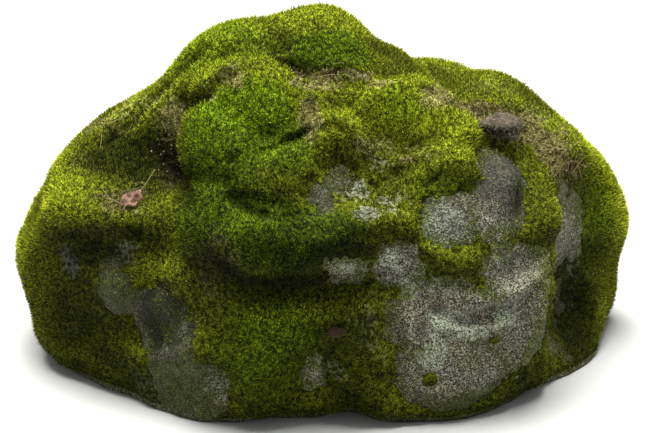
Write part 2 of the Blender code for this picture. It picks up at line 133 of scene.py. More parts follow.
# Thin green film on the stone: place, half sizes, strength.
FILM = {
    "nose_right": (362, -195, 375, 30, 70, 55, 1.15),
    "nose_band": (325, -260, 325, 75, 80, 30, 1.10),
    "nose_band_right": (385, -222, 300, 30, 60, 34, 1.30),
    "side": (440, -165, 200, 35, 80, 100, 0.80),
    "nose_top": (330, -170, 435, 70, 80, 50, 0.45),
    "ledge": (5, -260, 415, 60, 80, 40, 0.55),
    "nose_edge": (402, -235, 210, 16, 60, 110, 1.15),
    "nose_edge_low": (380, -262, 90, 30, 60, 90, 1.20),
    "recess": (470, -110, 120, 60, 80, 120, 0.55),
    "face_right": (262, -280, 375, 18, 50, 34, 0.55),
    "centre_seam": (232, -310, 290, 14, 50, 36, 0.55),
    "low_middle": (262, -340, 118, 50, 60, 30, 0.42),
    "foot": (250, -335, 30, 150, 70, 45, 1.15),
    "left_plane": (-300, -300, 180, 100, 80, 100, 1.45),
    "left_foot": (-255, -325, 60, 130, 80, 90, 1.40),
    "left_boss": (-370, -240, 225, 80, 80, 80, 1.25),
    "back": (200, 400, 150, 90, 60, 50, 0.60),
}
# Places where the stone's colour is darkened, in part painted shade in its recess and under its boss: place,
# half sizes, strength.
DARKENED_STONE = {
    "nose_top": (325, -180, 415, 90, 120, 80, 1.22),
    "lichen_face": (220, -280, 365, 70, 90, 50, 0.78),
    "ledge_patch": (5, -260, 415, 70, 80, 50, 0.95),
    "left_boss": (-390, -250, 235, 75, 90, 80, 1.12),
    "left_foot": (-260, -320, 80, 110, 100, 90, 0.62),
    "centre": (180, -320, 270, 70, 80, 50, 0.35),
    "left_plane": (-300, -295, 185, 90, 90, 110, 1.35),
    "under_boss": (-375, -260, 145, 70, 60, 35, 0.95),
    "recess": (475, -110, 110, 70, 90, 120, 0.95),
    "foot": (220, -340, 20, 180, 70, 40, 0.50),
    "nose_left": (120, -320, 140, 30, 70, 90, 0.45),
    "ledge": (40, -235, 430, 50, 40, 20, 0.40),
    "back": (180, 400, 220, 90, 60, 30, 0.70),
}

# ---------------------------------------------------------------- the moss mat
MOSS_GAP = 0.0004  # between the mat and the stone
MOSS_THICK = 0.020  # of the moss away from its cushions, shoots and all
MOSS_RIM = 0.0035  # of the moss at its rim
RIM_WIDTH = 0.060  # over which the moss thins towards its rim
HEM_HEIGHT = 0.012  # the moss ends this far above the ground
GROUND_CLEAR = 0.0004  # nothing that grows comes nearer to the ground
RIM_CLEAR = 0.25  # share of an edge that the rim keeps clear of the mesh points
STEEPEST = 0.5  # least share by which the surface faces away from HEART, for thicknesses
EVENING_ROUNDS = 16  # how widely slopes and rims are evened out, so that thick moss is smooth
RIM_STEEPNESS = 2.0  # how much faster than usual the moss may thicken where its rim is ragged
SHOOT_REACH = 0.0065  # of the moss's thickness, how much is the shoots' own
LEAST_MAT = 0.0012
LEAST_SHEET = 40  # triangles; smaller scraps of the mat are left out
MAT_LUMPS = ((0.060, 0.0022), (0.024, 0.0006))  # wave length, height
FINE_FRONT = 0.62  # the mat is finely split where it faces the front at least this much
FINE_RIM, FINE_BEYOND = 0.008, 0.012  # and this near to its rim, but not this far outside it
FILLED = 0.3  # of the rim's width, how far in the moss has filled the stone's grain
MOSS_RAGGED = ((0.045, 0.35), (0.018, 0.30), (0.007, 0.25))  # unevenness of the edges of its patches
MOSS_PATCHY = ((0.11, 0.5), (0.04, 0.4))
CREASE_PAINTED_SHADE = 62.0  # how fast folds are painted darker, as painted shade, per metre of their depth
RELIEF_ROUNDS, RELIEF_GAIN = 70, 0.45  # over how wide a neighbourhood relief is raised, and by what share
ROUNDNESS = 0.0015  # how far the boulder's own roundness lifts a point off its neighbourhood
HOLLOW_PAINTED_SHADE = 45.0  # how fast hollows are painted darker and crests brighter, as painted shade and light, per metre of relief

# Cushions that swell out of the mat: place, half sizes, height over the mat.
CUSHIONS = {
    "crown": (20, 30, 620, 130, 150, 120, 14),
    "shoulder": (-170, 20, 600, 130, 100, 90, 14),
    "big_cushion_top": (-135, -120, 530, 115, 110, 75, 44),
    "big_cushion": (-180, -170, 460, 85, 120, 85, 48),
    "big_cushion_foot": (-200, -260, 370, 70, 100, 110, 34),
    "olive_lump_left": (-85, -240, 435, 90, 100, 55, 34),
    "olive_lump_mid": (25, -180, 475, 75, 90, 60, 34),
    "roll_left": (-120, -320, 335, 110, 110, 75, 36),
    "roll_mid": (0, -320, 335, 110, 110, 62, 34),
    "roll_right": (90, -300, 345, 80, 100, 45, 24),
    "terrace_left": (50, -100, 545, 90, 70, 55, 24),
    "terrace_mid": (155, -110, 505, 115, 90, 68, 50),
    "terrace_right": (235, -125, 475, 85, 80, 50, 32),
    "nose_cushion": (210, -220, 435, 95, 100, 60, 26),
    "right_cushion": (540, -70, 280, 90, 120, 100, 38),
    "right_top": (460, 0, 420, 120, 120, 80, 22),
    "left_bulge": (-450, -140, 340, 120, 120, 80, 20),
    "front_flank": (-100, -350, 130, 110, 100, 110, 22),
    "front_flank_right": (20, -350, 90, 90, 100, 80, 16),
    "back_left": (-300, 280, 320, 120, 120, 90, 34),
    "back_mid": (30, 330, 400, 120, 120, 80, 36),
    "back_low": (-80, 400, 140, 120, 100, 90, 24),
    "back_right": (380, 270, 320, 110, 120, 80, 34),
    "back_left_low": (-360, 260, 140, 100, 120, 80, 28),
    "back_rib": (0, 410, 240, 90, 100, 70, 30),
    "back_high_left": (-180, 220, 500, 110, 100, 80, 30),
    "back_high_right": (200, 240, 460, 110, 100, 80, 30),
    "back_right_low": (460, 200, 160, 80, 120, 80, 26),
    "left_end": (-580, 100, 220, 80, 120, 100, 18),
    "top_right": (320, 100, 500, 100, 100, 70, 12),
}

# Folds where cushions meet: width, depth, then a line of places.
CREASES = {
    "big_cushion_under": (
        17, 19, (-168, -248, 474), (-150, -245, 484), (-108, -243, 494), (-87, -228, 498),
        (-66, -202, 496), (-48, -191, 501), (-36, -186, 508),
    ),
    "big_cushion_left": (24, 10, (-262, -81, 530), (-266, -115, 500), (-258, -175, 463), (-245, -206, 430)),
    "big_cushion_right": (20, 6, (-24, -125, 543), (-29, -150, 530)),
    "big_cushion_back": (
        24, 13, (-245, -115, 530), (-208, -142, 560), (-186, -138, 582), (-168, -130, 594),
    ),
    "left_groove": (
        30, 13, (-400, -59, 446), (-368, -41, 471), (-332, -16, 507), (-292, -26, 548),
        (-253, -24, 588), (-224, -18, 614),
    ),
    "crown_foot": (
        20, 7, (-87, -58, 598), (-55, -73, 588), (-24, -84, 578), (18, -88, 572), (64, -86, 566),
        (110, -98, 563),
    ),
    "lump_foot": (
        20, 12, (-165, -288, 417), (-140, -318, 407), (-109, -340, 402), (-69, -342, 398),
        (-38, -324, 398), (-20, -292, 403),
    ),
    "under_roll": (34, 9, (-191, -345, 312), (-156, -358, 290), (-110, -358, 280), (-43, -356, 285)),
    "shoulder_valley": (28, 5, (-191, -51, 605), (-158, -37, 620), (-117, -32, 626), (-78, -40, 620)),
    "crown_left": (28, 5, (-119, 37, 651), (-93, -14, 638), (-74, -41, 620)),
    "mid_lump": (
        18, 10, (-13, -191, 513), (18, -184, 517), (45, -185, 500), (67, -188, 472), (77, -190, 450),
    ),
    "nose_cushion_back": (
        20, 9, (90, -216, 416), (126, -202, 431), (170, -208, 450), (206, -204, 474), (262, -176, 482),
    ),
    "nose_cushion_foot": (16, 8, (132, -268, 391), (187, -246, 393)),
    "left_wall_foot": (34, 10, (-278, -105, 405), (-263, -190, 405), (-240, -250, 385)),
    "left_bulge_low": (24, 9, (-484, -182, 292), (-410, -208, 308), (-340, -222, 315)),
    "saddle": (24, 7, (184, -93, 549), (230, -99, 526), (289, -64, 503), (370, -10, 491)),
    "back_fold_left": (24, 12, (-200, 330, 360), (-220, 370, 260), (-200, 390, 160)),
    "back_fold_right": (24, 12, (160, 350, 360), (120, 400, 280), (100, 420, 170)),
}

# Places where the stone shows: place, half sizes.
BARE = {
    "nose_top": (330, -180, 430, 60, 90, 55),
    "nose_middle": (310, -250, 375, 75, 100, 60),
    "lichen_face": (220, -280, 365, 55, 90, 50),
    "bowl": (352, -280, 268, 82, 110, 50),
    "centre": (215, -330, 200, 110, 110, 72),
    "foot": (230, -330, 100, 110, 110, 75),
    "pale_left": (130, -310, 290, 45, 90, 45),
    "low_right": (350, -290, 170, 55, 110, 100),
    "side_face": (472, -120, 258, 54, 140, 105),
    "side_recess": (460, -180, 140, 50, 120, 110),
    "under_lump": (-6, -275, 410, 28, 80, 26),
    "under_lump_right": (24, -250, 421, 26, 70, 20),
    "under_roll": (35, -330, 285, 40, 90, 34),
    "low_front": (-20, -340, 95, 26, 80, 30),
    "left_boss": (-378, -245, 215, 46, 90, 52),
    "left_dark": (-295, -300, 165, 62, 100, 75),
    "left_foot": (-250, -330, 60, 82, 100, 60),
    "back_ledge": (240, 400, 190, 120, 100, 70),
    "back_foot": (-300, 340, 70, 90, 100, 60),
}
RIM_WANDER = ((0.07, 0.014), (0.03, 0.012), (0.012, 0.009))  # raggedness of the rim: wave length, width

# Deep green, well watered moss: place, half sizes, strength.
LUSH = {
    "big_cushion": (-150, -200, 500, 150, 130, 120, 1.00),
    "big_cushion_foot": (-215, -290, 400, 100, 110, 110, 1.00),
    "roll": (-80, -370, 370, 190, 100, 75, 0.95),
    "crown": (15, -60, 612, 110, 70, 50, 0.85),
    "shoulder": (-200, -20, 610, 170, 120, 80, 0.45),
    "left_hollow": (-340, -90, 430, 140, 120, 100, 0.35),
    "flank": (-100, -380, 160, 130, 100, 150, 0.55),
    "right_cushion": (540, -30, 280, 100, 120, 130, 0.50),
    "terrace": (150, -100, 530, 110, 80, 50, 0.45),
    "nose_cushion": (200, -240, 430, 80, 80, 50, 0.35),
    "left_end": (-560, 0, 220, 120, 150, 150, 0.30),
    "back_mid": (30, 360, 400, 200, 170, 150, 0.60),
    "back_left": (-300, 300, 330, 190, 170, 140, 0.55),
    "back_right": (380, 290, 300, 170, 160, 140, 0.50),
    "back_low": (-80, 420, 150, 150, 100, 100, 0.50),
}
# Brown, dying moss and dry straw: place, half sizes, strength.
DEAD = {
    "left_wall": (-292, -85, 495, 50, 60, 55, 0.85),
    "left_wall_low": (-285, -115, 420, 36, 60, 60, 0.95),
    "left_wall_foot": (-262, -220, 400, 22, 50, 50, 0.45),
    "groove": (-350, -20, 505, 90, 40, 30, 0.62),
    "groove_low": (-410, -45, 460, 50, 40, 20, 0.55),
    "leaf_bed": (-368, -175, 372, 62, 60, 40, 0.80),
    "crest_low": (-470, -70, 405, 70, 40, 25, 0.55),
    "crest": (-400, -10, 480, 140, 50, 60, 0.60),
    "brown_face": (-200, -345, 300, 60, 70, 85, 0.72),
    "bulge_low": (-400, -210, 315, 60, 50, 24, 0.60),
    "shoulder_dimple": (-172, -130, 588, 30, 40, 24, 0.80),
    "shoulder_left": (-208, -142, 558, 34, 40, 16, 0.50),
    "crown_foot": (36, -94, 576, 110, 50, 22, 1.00),
    "column": (-27, -160, 527, 24, 70, 50, 0.90),
    "terrace_foot": (90, -185, 470, 60, 50, 26, 0.75),
    "terrace_foot_right": (150, -200, 462, 60, 50, 22, 0.65),
    "saddle": (215, -92, 537, 70, 50, 30, 0.95),
    "saddle_right": (300, -60, 502, 90, 50, 30, 1.15),
    "shoulder_right": (390, -20, 478, 80, 60, 34, 0.62),
    "needle_slope": (425, -45, 440, 75, 60, 60, 1.25),
    "needle_slope_low": (472, -62, 385, 45, 60, 60, 1.15),
    "behind_stone": (350, -75, 460, 50, 50, 30, 0.60),
    "notch": (251, 13, 559, 28, 34, 22, 0.95),
    "upper_slope": (330, 30, 520, 80, 50, 30, 0.50),
    "back_saddle": (-50, 240, 540, 100, 80, 50, 0.60),
    "back_hollow": (-110, 380, 300, 70, 80, 70, 0.60),
    "back_end": (560, 160, 280, 60, 80, 60, 0.50),
}
# Moss that grows thinly over crusted stone: place, half sizes, strength.
CRUST = {
    "roll_end": (80, -305, 394, 34, 50, 16, 0.95),
    "nose_foot": (122, -270, 395, 40, 50, 20, 0.75),
    "terrace_gap": (100, -205, 440, 30, 50, 22, 0.55),
    "crown_foot": (70, -88, 577, 30, 30, 12, 0.60),
    "ledge_right": (55, -235, 410, 45, 50, 20, 0.85),
    "left_streak": (-472, -180, 252, 18, 60, 40, 0.85),
    "left_brow": (-368, -228, 285, 34, 50, 26, 0.60),
    "side": (480, -85, 190, 30, 70, 70, 0.55),
    "low_front": (10, -352, 110, 40, 50, 24, 0.45),
    "low_left": (-330, -300, 50, 90, 60, 40, 0.50),
    "nose_left": (80, -335, 180, 40, 60, 80, 0.35),
    "stone_foot": (330, -105, 455, 40, 40, 20, 0.60),
}
# Where needles, straws and crumbs of bark have gathered on the moss: place, half sizes, strength.
FALLEN = {
    "right_slope": (425, -45, 440, 85, 70, 80, 1.00),
    "right_slope_low": (473, -65, 379, 45, 60, 55, 0.90),
    "behind_stone": (350, -45, 490, 80, 50, 30, 0.75),
    "saddle": (250, -85, 520, 100, 50, 30, 0.60),
    "notch": (251, 13, 559, 30, 40, 25, 1.00),
    "crown_foot": (30, -95, 577, 110, 40, 22, 0.80),
    "column": (-20, -130, 545, 30, 50, 30, 0.25),
    "terrace_foot": (110, -190, 465, 80, 50, 26, 0.50),
    "groove": (-292, -85, 465, 45, 60, 80, 0.50),
    "leaf_bed": (-368, -175, 372, 65, 60, 45, 0.75),
    "crest": (-420, -40, 455, 80, 40, 25, 0.35),
    "back_saddle": (-50, 240, 540, 100, 80, 50, 0.50),
    "back_right": (300, 200, 480, 100, 100, 50, 0.50),
}
# Painted light: places where the moss is painted brighter, as if standing in full light: place, half sizes,
# strength.
BRIGHT = {
    "terrace": (150, -120, 515, 130, 90, 50, 0.90),
    "terrace_right": (240, -130, 480, 80, 70, 40, 0.25),
    "big_cushion_top": (-120, -130, 545, 120, 80, 60, 1.35),
    "shoulder": (-200, -20, 610, 120, 90, 60, 0.30),
    "upper_left": (-330, 20, 530, 140, 100, 80, 1.10),
    "crown_foot": (50, -95, 570, 120, 45, 22, 1.60),
    "flank": (-80, -385, 150, 120, 80, 110, 0.45),
    "nose_cushion": (215, -230, 440, 70, 60, 35, 0.05),
    "right_cushion": (560, -70, 320, 70, 90, 60, 0.60),
    "right_foot": (570, -60, 60, 70, 80, 50, 0.40),
}
# Painted shade: places where the moss is painted dark, as if in deep shade: place, half sizes, strength.
DARK = {
    "crown_front": (15, -60, 612, 85, 50, 40, 0.12),
    "left_hollow": (-372, -88, 426, 130, 90, 50, 0.95),
    "under_cushion": (-110, -290, 462, 80, 60, 24, 0.45),
    "lump_foot": (-140, -315, 415, 60, 50, 24, 0.45),
    "brown_face": (-200, -340, 300, 70, 80, 100, 0.70),
    "under_roll": (-60, -340, 265, 170, 80, 40, 0.85),
    "under_roll_right": (20, -320, 255, 80, 70, 50, 0.45),
    "left_front": (-440, -200, 170, 130, 110, 130, 0.60),
    "left_under_bulge": (-410, -210, 275, 120, 90, 45, 0.85),
    "left_low": (-430, -200, 60, 140, 110, 80, 0.55),
    "left_toe": (-340, -290, 40, 90, 80, 60, 0.55),
    "bulge_inner": (-320, -235, 320, 60, 60, 50, 0.55),
    "low_middle": (40, -360, 140, 60, 70, 140, 0.45),
    "recess": (490, -80, 110, 90, 90, 150, 1.08),
    "shoulder_dimple": (-172, -130, 588, 38, 45, 28, 0.60),
    "column": (-27, -165, 530, 20, 70, 40, 0.45),
    "left_bulge": (-450, -180, 340, 110, 90, 75, 0.42),
    "left_side": (-540, -120, 250, 100, 120, 110, 0.40),
    "upper_right": (330, 30, 520, 120, 80, 50, 0.30),
    "nose_cushion_side": (250, -235, 425, 65, 60, 40, 0.38),
    "nose_band": (385, -200, 350, 50, 80, 95, 0.42),
    "moss_patch": (205, -315, 305, 90, 60, 50, 0.10),
    "foot_right": (360, -290, 40, 90, 90, 60, 0.40),
    "right_mid": (530, -40, 190, 45, 120, 50, 0.45),
    "roll": (0, -360, 350, 190, 90, 55, 0.78),
    "lump_left": (-90, -280, 445, 80, 60, 40, 0.22),
    "cushion_low": (-210, -280, 400, 90, 100, 80, 0.40),
    "nose_side_top": (240, -255, 425, 30, 40, 30, 0.30),
    "left_high": (-290, 50, 550, 130, 90, 70, 0.62),
    "left_brow": (-430, 60, 435, 135, 125, 90, 0.62),
    "left_end": (-575, 20, 300, 70, 150, 130, 0.75),
    "crown_right": (150, 50, 590, 100, 60, 50, 0.60),
    "right_brow": (400, 100, 490, 130, 100, 70, 0.75),
    "back_notch": (200, 390, 240, 150, 70, 30, 0.50),
}
NOON, NIGHT = 0.92, -0.45  # upward slopes at which the moss is painted brightest and darkest, as painted light and shade
NIGHT_SHADE = 0.26  # brightness painted on the darkest slopes, as painted shade

# Small cushions of moss that grow on bare stone, by the names of their solids: place, half sizes.
TUFTS = {
    "moss_tuft_front": (187, -345, 88, 18, 12, 17),
    "moss_tuft_back": (250, 375, 185, 30, 16, 24),
}
TUFT_SHARE = 0.80  # of its solid part, how big the tuft is under its shoots
TUFT_GRAIN = ((0.016, 0.0016), (0.006, 0.0006))

# --------------------------------------------------------------------- shoots
# Each growth: shoots a square metre, width and length in mm, outward, upward, spread, seed.
GROWTHS = {
    "moss_shoots_upright": (21200, 2.2, 9.0, 0.95, 0.40, 0.32, 11),
    "moss_shoots_leaning": (21200, 2.1, 8.6, 0.95, 0.10, 0.60, 23),
    "moss_shoots_short": (21200, 2.4, 6.6, 1.00, 0.25, 0.55, 37),
    "moss_shoots_fine": (21200, 1.6, 10.0, 0.90, 0.35, 0.42, 53),
}
CREEPING = (70000, 1.9, 6.2, 0.80, 0.30, 0.80, 71)
CREEP_WIDTH = 0.048  # how far moss creeps out from the mat's rim
CREEP_RAGGED = ((0.040, 0.4), (0.015, 0.4), (0.007, 0.3))
SPARSE = 0.01  # nothing grows where it would be sparser than this
CRUMBS = (26000, 3.2, 2.0, 1.0, 0.0, 0.25, 83)
BAKE_CELLS = 256  # cells a side in the map of shoots

# ----------------------------------------------------------------- loose pieces
NEEDLES = (2900, 1.0, 30.0, 0.0, 0.0, 0.0, 97)
DRY_CRUMBS = (7000, 3.4, 2.4, 0.7, 0.2, 0.6, 101)
NEEDLE_THICK = 0.013  # of its length
FALLEN_RAGGED = ((0.045, 0.5), (0.018, 0.4))
LITTER_LIFT = 0.0075  # above the mat, on the tips of the shoots
TWIG = ((-0.316, -0.112, 0.405), (-0.339, -0.159, 0.378), (-0.368, -0.203, 0.355))
TWIG_THICK = 0.0013
LEAF = ((-0.352, -0.180, 0.374), (0.028, 0.017), 0.80)  # middle, half length and half width, turned by this
LEAF_TILT = (0.0, -0.9, 0.1)  # added to the moss's direction there, so that the scrap stands up a little
LEAF_THICK, LEAF_LIFT = 0.0010, 0.006
LEAF_ROUND, LEAF_RINGS = 28, 5  # corners round the scrap, rings of them
LEAF_TORN = ((0.5, 1.0), (0.2, 0.5))
LEAF_CURL = ((0.020, 0.006), (0.008, 0.002))
LOOSE_GRAIN = ((0.030, 0.0050), (0.012, 0.0026), (0.005, 0.0012))
BARK_GRAIN = ((0.012, 0.0022), (0.006, 0.0014), (0.003, 0.0007))


# ------------------------------------------------------------------ the fields
def spot(row):
    """Middle and half sizes, in metres, from a row of a table, and what else the row gives."""
    return np.array(row[:3]) / MM, np.array(row[3:6]) / MM, *row[6:]


def from_middle(points, middle, half):
    """0 in the middle of a spot, 1 on its rim."""
    return np.linalg.norm((points - middle) / half, axis=1)


def blended(first, second, softness):
    """The smaller of two values, with a soft fillet where they cross."""
    share = (0.5 + 0.5 * (second - first) / softness).clip(0, 1)
    return second * (1 - share) + first * share - softness * share * (1 - share)


def waves(points, lengths_and_heights):
    """Smooth random unevenness, the same on every run."""
    heights = np.zeros(len(points))
    for length, height in lengths_and_heights:
        heights += [height * noise.noise(Vector(point)) for point in points / length]
    return heights


def eased(values, low, high):
    """0 below low, 1 above high, with a soft step between."""
    share = ((values - low) / (high - low)).clip(0, 1)
    return share * share * (3 - 2 * share)


def in_spots(points, spots, raggedness, core=0.45):
    """0 to 1: how deep the points lie in any of the named spots, full within the core."""
    found = np.zeros(len(points))
    for middle, half, strength in map(spot, spots.values()):
        away = from_middle(points, middle, half) + raggedness
        found = np.maximum(found, strength * eased(-away, -1.25, -core))
    return found


def near_line(points, line, width):
    """1 on a line of places, falling to 0 at the given distance from it."""
    line, width = np.array(line) / MM, width / MM
    nearest = np.full(len(points), width)
    for start, end in zip(line, line[1:]):
        step = end - start
        share = ((points - start) @ step / (step @ step)).clip(0, 1)
        nearest = np.minimum(nearest, np.linalg.norm(points - start - share[:, None] * step, axis=1))
    return 1 - eased(nearest, 0.0, width)


def folded(points, folds):
    """How far the folds push the points in."""
    depth = np.zeros(len(points))
    for width, deep, *line in folds.values():
        depth = np.maximum(depth, deep / MM * near_line(points, line, width))
    return depth


def moss_cover(points):
    """How far inside the mat's rim the points are, negative where the stone is bare."""
    cover = points[:, 2] - HEM_HEIGHT
    for middle, half in map(spot, BARE.values()):
        away = (from_middle(points, middle, half) - 1.0) * min(half)
        cover = blended(cover, away, 0.010)
    return cover + waves(points, RIM_WANDER) * (points[:, 2] > 2 * HEM_HEIGHT)


def moss_thickness(points, cover):
    """Thickness of the mat under its shoots, with its cushions, thinned towards the rim."""
    thick = np.full(len(points), MOSS_THICK)
    for middle, half, height in map(spot, CUSHIONS.values()):
        swell = 1 - from_middle(points, middle, half).clip(0, 1) ** 2
        cushion = MOSS_THICK + height / MM * swell ** 0.8
        thick = -blended(-thick, -cushion, 0.012)
    share = (cover / RIM_WIDTH).clip(0, 1)
    return MOSS_RIM + (thick - MOSS_RIM) * (1 - (1 - share) ** 2) ** 0.8


# ------------------------------------------------------------------- the sheets
def merged(node):
    """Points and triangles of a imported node, its doubles merged, measured from the peg."""
    joined = bmesh.new()
    joined.from_mesh(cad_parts[node].data)
    bmesh.ops.remove_doubles(joined, verts=joined.verts, dist=MERGE)
    bmesh.ops.triangulate(joined, faces=joined.faces)
    points = np.array([v.co for v in joined.verts]) - PEG
    faces = np.array([[v.index for v in f.verts] for f in joined.faces])
    joined.free()
    return points, faces


def edge_list(faces):
    """Each edge once, the three edge numbers of each triangle, and how many triangles share each."""
    ends = np.sort(np.concatenate([faces[:, [0, 1]], faces[:, [1, 2]], faces[:, [2, 0]]]), axis=1)
    edges, which, uses = np.unique(ends, axis=0, return_inverse=True, return_counts=True)
    return edges, which.reshape(3, -1).T, uses


def smoothed(points, faces):
    """Each triangle split in four and the whole surface smoothed; an open rim keeps its own line."""
    edges, which, uses = edge_list(faces)
    rim = uses == 1
    ends = points[edges[:, 0]] + points[edges[:, 1]]
    across = np.zeros_like(ends)
    for side, corner in enumerate((2, 0, 1)):
        np.add.at(across, which[:, side], points[faces[:, corner]])
    middles = np.where(rim[:, None], ends / 2, ends * 3 / 8 + across / 8)
    around, neighbours = np.zeros_like(points), np.zeros(len(points))
    rim_around, on_rim = np.zeros_like(points), np.zeros(len(points), bool)
    for a, b in ((0, 1), (1, 0)):
        np.add.at(around, edges[:, a], points[edges[:, b]])
        np.add.at(neighbours, edges[:, a], 1)
        np.add.at(rim_around, edges[rim][:, a], points[edges[rim][:, b]])
        on_rim[edges[rim][:, a]] = True
    pull = np.where(neighbours == 3, 3 / 16, 3 / 8 / neighbours)[:, None]
    moved = points * (1 - pull * neighbours[:, None]) + around * pull
    moved[on_rim] = points[on_rim] * 3 / 4 + rim_around[on_rim] / 8
    a, b, c = faces.T
    ab, bc, ca = (which + len(points)).T
    split = [np.stack(corners, 1) for corners in ((a, ab, ca), (ab, b, bc), (ca, bc, c), (ab, bc, ca))]
    return np.concatenate([moved, middles]), np.concatenate(split)


def split_where(points, faces, chosen):
    """The chosen triangles split in four, and their neighbours split to fit."""
    edges, which, _ = edge_list(faces)
    cut = np.zeros(len(edges), bool)
    cut[which[chosen]] = True
    while (twice := cut[which].sum(1) == 2).any():
        cut[which[twice]] = True
    number = np.where(cut, len(points) + np.cumsum(cut) - 1, -1)
    middles = (points[edges[cut, 0]] + points[edges[cut, 1]]) / 2
    mids = number[which]
    count = (mids >= 0).sum(1)
    kept = [faces[count == 0]]
    a, b, c = faces[count == 3].T
    ab, bc, ca = mids[count == 3].T
    kept += [np.stack(corners, 1) for corners in ((a, ab, ca), (ab, b, bc), (ca, bc, c), (ab, bc, ca))]
    for side in range(3):
        one = (count == 1) & (mids[:, side] >= 0)
        a, b, c = (faces[one, (side + step) % 3] for step in range(3))
        kept += [np.stack((a, mids[one, side], c), 1), np.stack((mids[one, side], b, c), 1)]
    return np.concatenate([points, middles]), np.concatenate(kept)


def levelled(values, faces, rounds):
    """Values at the points, each averaged with those of a wide neighbourhood."""
    starts, ends = edge_list(faces)[0].T
    count = (np.bincount(starts, minlength=len(values)) + np.bincount(ends, minlength=len(values))).clip(1)
    level = values.copy()
    for _ in range(rounds):
        for axis in range(level.shape[1]):
            own = level[:, axis]
            around = np.bincount(starts, own[ends], len(own)) + np.bincount(ends, own[starts], len(own))
            level[:, axis] = own / 2 + around / count / 2
    return level


def cut_out(points, faces, chosen, fields):
    """Only the chosen triangles, with their points and those points' fields."""
    used, faces = np.unique(faces[chosen], return_inverse=True)
    return points[used], faces.reshape(-1, 3), {name: values[used] for name, values in fields.items()}


def relief(points, faces, rounds):
    """How far each point stands off the average of a wide neighbourhood."""
    return points - levelled(points, faces, rounds)


def outward(points):
    """Unit directions from HEART."""
    out = points - HEART
    return out / np.linalg.norm(out, axis=1)[:, None]


def vertex_normals(points, faces):
    corners = points[faces]
    across = np.cross(corners[:, 1] - corners[:, 0], corners[:, 2] - corners[:, 0])
    normals = np.zeros_like(points)
    for corner in range(3):
        np.add.at(normals, faces[:, corner], across)
    return normals / np.linalg.norm(normals, axis=1)[:, None].clip(1e-12)


def stone_light(normals):
    """Painted light and shade of the stone by its slope: brightest where it faces up, darkest where it faces
    down.
    """
    return STONE_NIGHT + (1 - STONE_NIGHT) * eased(normals[:, 2], NIGHT, NOON)


def off_ground(points):
    """0 at the ground, 1 a little above it."""
    return eased(points[:, 2], 0.0, GROUND_FADE)


@functools.cache
def stone_sheet():
    """The stone's surface without its flat base: points, triangles, and each point's lift by the grain."""
    points, faces = merged("boulder")
    faces = faces[points[faces][:, :, 2].max(1) > MERGE]
    for _ in range(SMOOTHINGS):
        points, faces = smoothed(points, faces)
    used, faces = np.unique(faces, return_inverse=True)
    points, faces = points[used], faces.reshape(-1, 3)
    grain = waves(points, STONE_GRAIN) * off_ground(points)
    rise = np.zeros(len(points))
    for middle, half, height in map(spot, STONE_SWELLS.values()):
        rise += height / MM * (1 - from_middle(points, middle, half).clip(0, 1) ** 2) ** 2
    for width, height, *line in STONE_LINES.values():
        rise += height / MM * near_line(points, line, width)
    rise = rise * off_ground(points) + grain
    points = points + outward(points) * rise[:, None]
    points[points[:, 2] < MERGE, 2] = 0.0
    return points, faces, grain


def rim_cuts(cover, faces):
    """New points where the mat's rim crosses an edge: {edge: number}, ends, share of the way."""
    numbers, ends, shares = {}, [], []
    crossed = faces[(cover[faces] > 0).any(1) & (cover[faces] < 0).any(1)]
    for face in crossed.tolist():
        for a, b in zip(face, face[1:] + face[:1]):
            edge = (min(a, b), max(a, b))
            if edge not in numbers and cover[a] * cover[b] < 0:
                numbers[edge] = len(cover) + len(ends)
                share = cover[edge[0]] / (cover[edge[0]] - cover[edge[1]])
                ends.append(edge)
                shares.append(min(max(share, RIM_CLEAR), 1 - RIM_CLEAR))
    return numbers, np.array(ends), np.array(shares)[:, None]


def covered_part(faces, cover, numbers):
    """The triangles inside the rim, and the edges of the rim in order."""
    kept, rim = [], []
    for face in faces.tolist():
        shape = []
        for a, b in zip(face, face[1:] + face[:1]):
            if cover[a] > 0:
                shape.append(a)
            if cover[a] * cover[b] < 0:
                shape.append(numbers[min(a, b), max(a, b)])
        for i in range(1, len(shape) - 1):
            kept.append((shape[0], shape[i], shape[i + 1]))
        cut = [i for i in shape if i >= len(cover)]
        if cut:
            first, second = cut
            if shape[(shape.index(first) + 1) % len(shape)] != second:
                first, second = second, first
            rim.append((first, second))
    return kept, rim


def large_sheets(kept, rim):
    """Only the triangles and rim edges of sheets that aren't mere scraps."""
    leader = {}

    def find(corner):
        while leader.setdefault(corner, corner) != corner:
            leader[corner] = leader[leader[corner]]
            corner = leader[corner]
        return corner

    for a, b, c in kept:
        leader[find(b)] = find(a)
        leader[find(c)] = find(a)
    sizes = {}
    for face in kept:
        sizes[find(face[0])] = sizes.get(find(face[0]), 0) + 1
    large = {corner for corner, size in sizes.items() if size >= LEAST_SHEET}
    kept = [face for face in kept if find(face[0]) in large]
    return kept, [edge for edge in rim if find(edge[0]) in large]


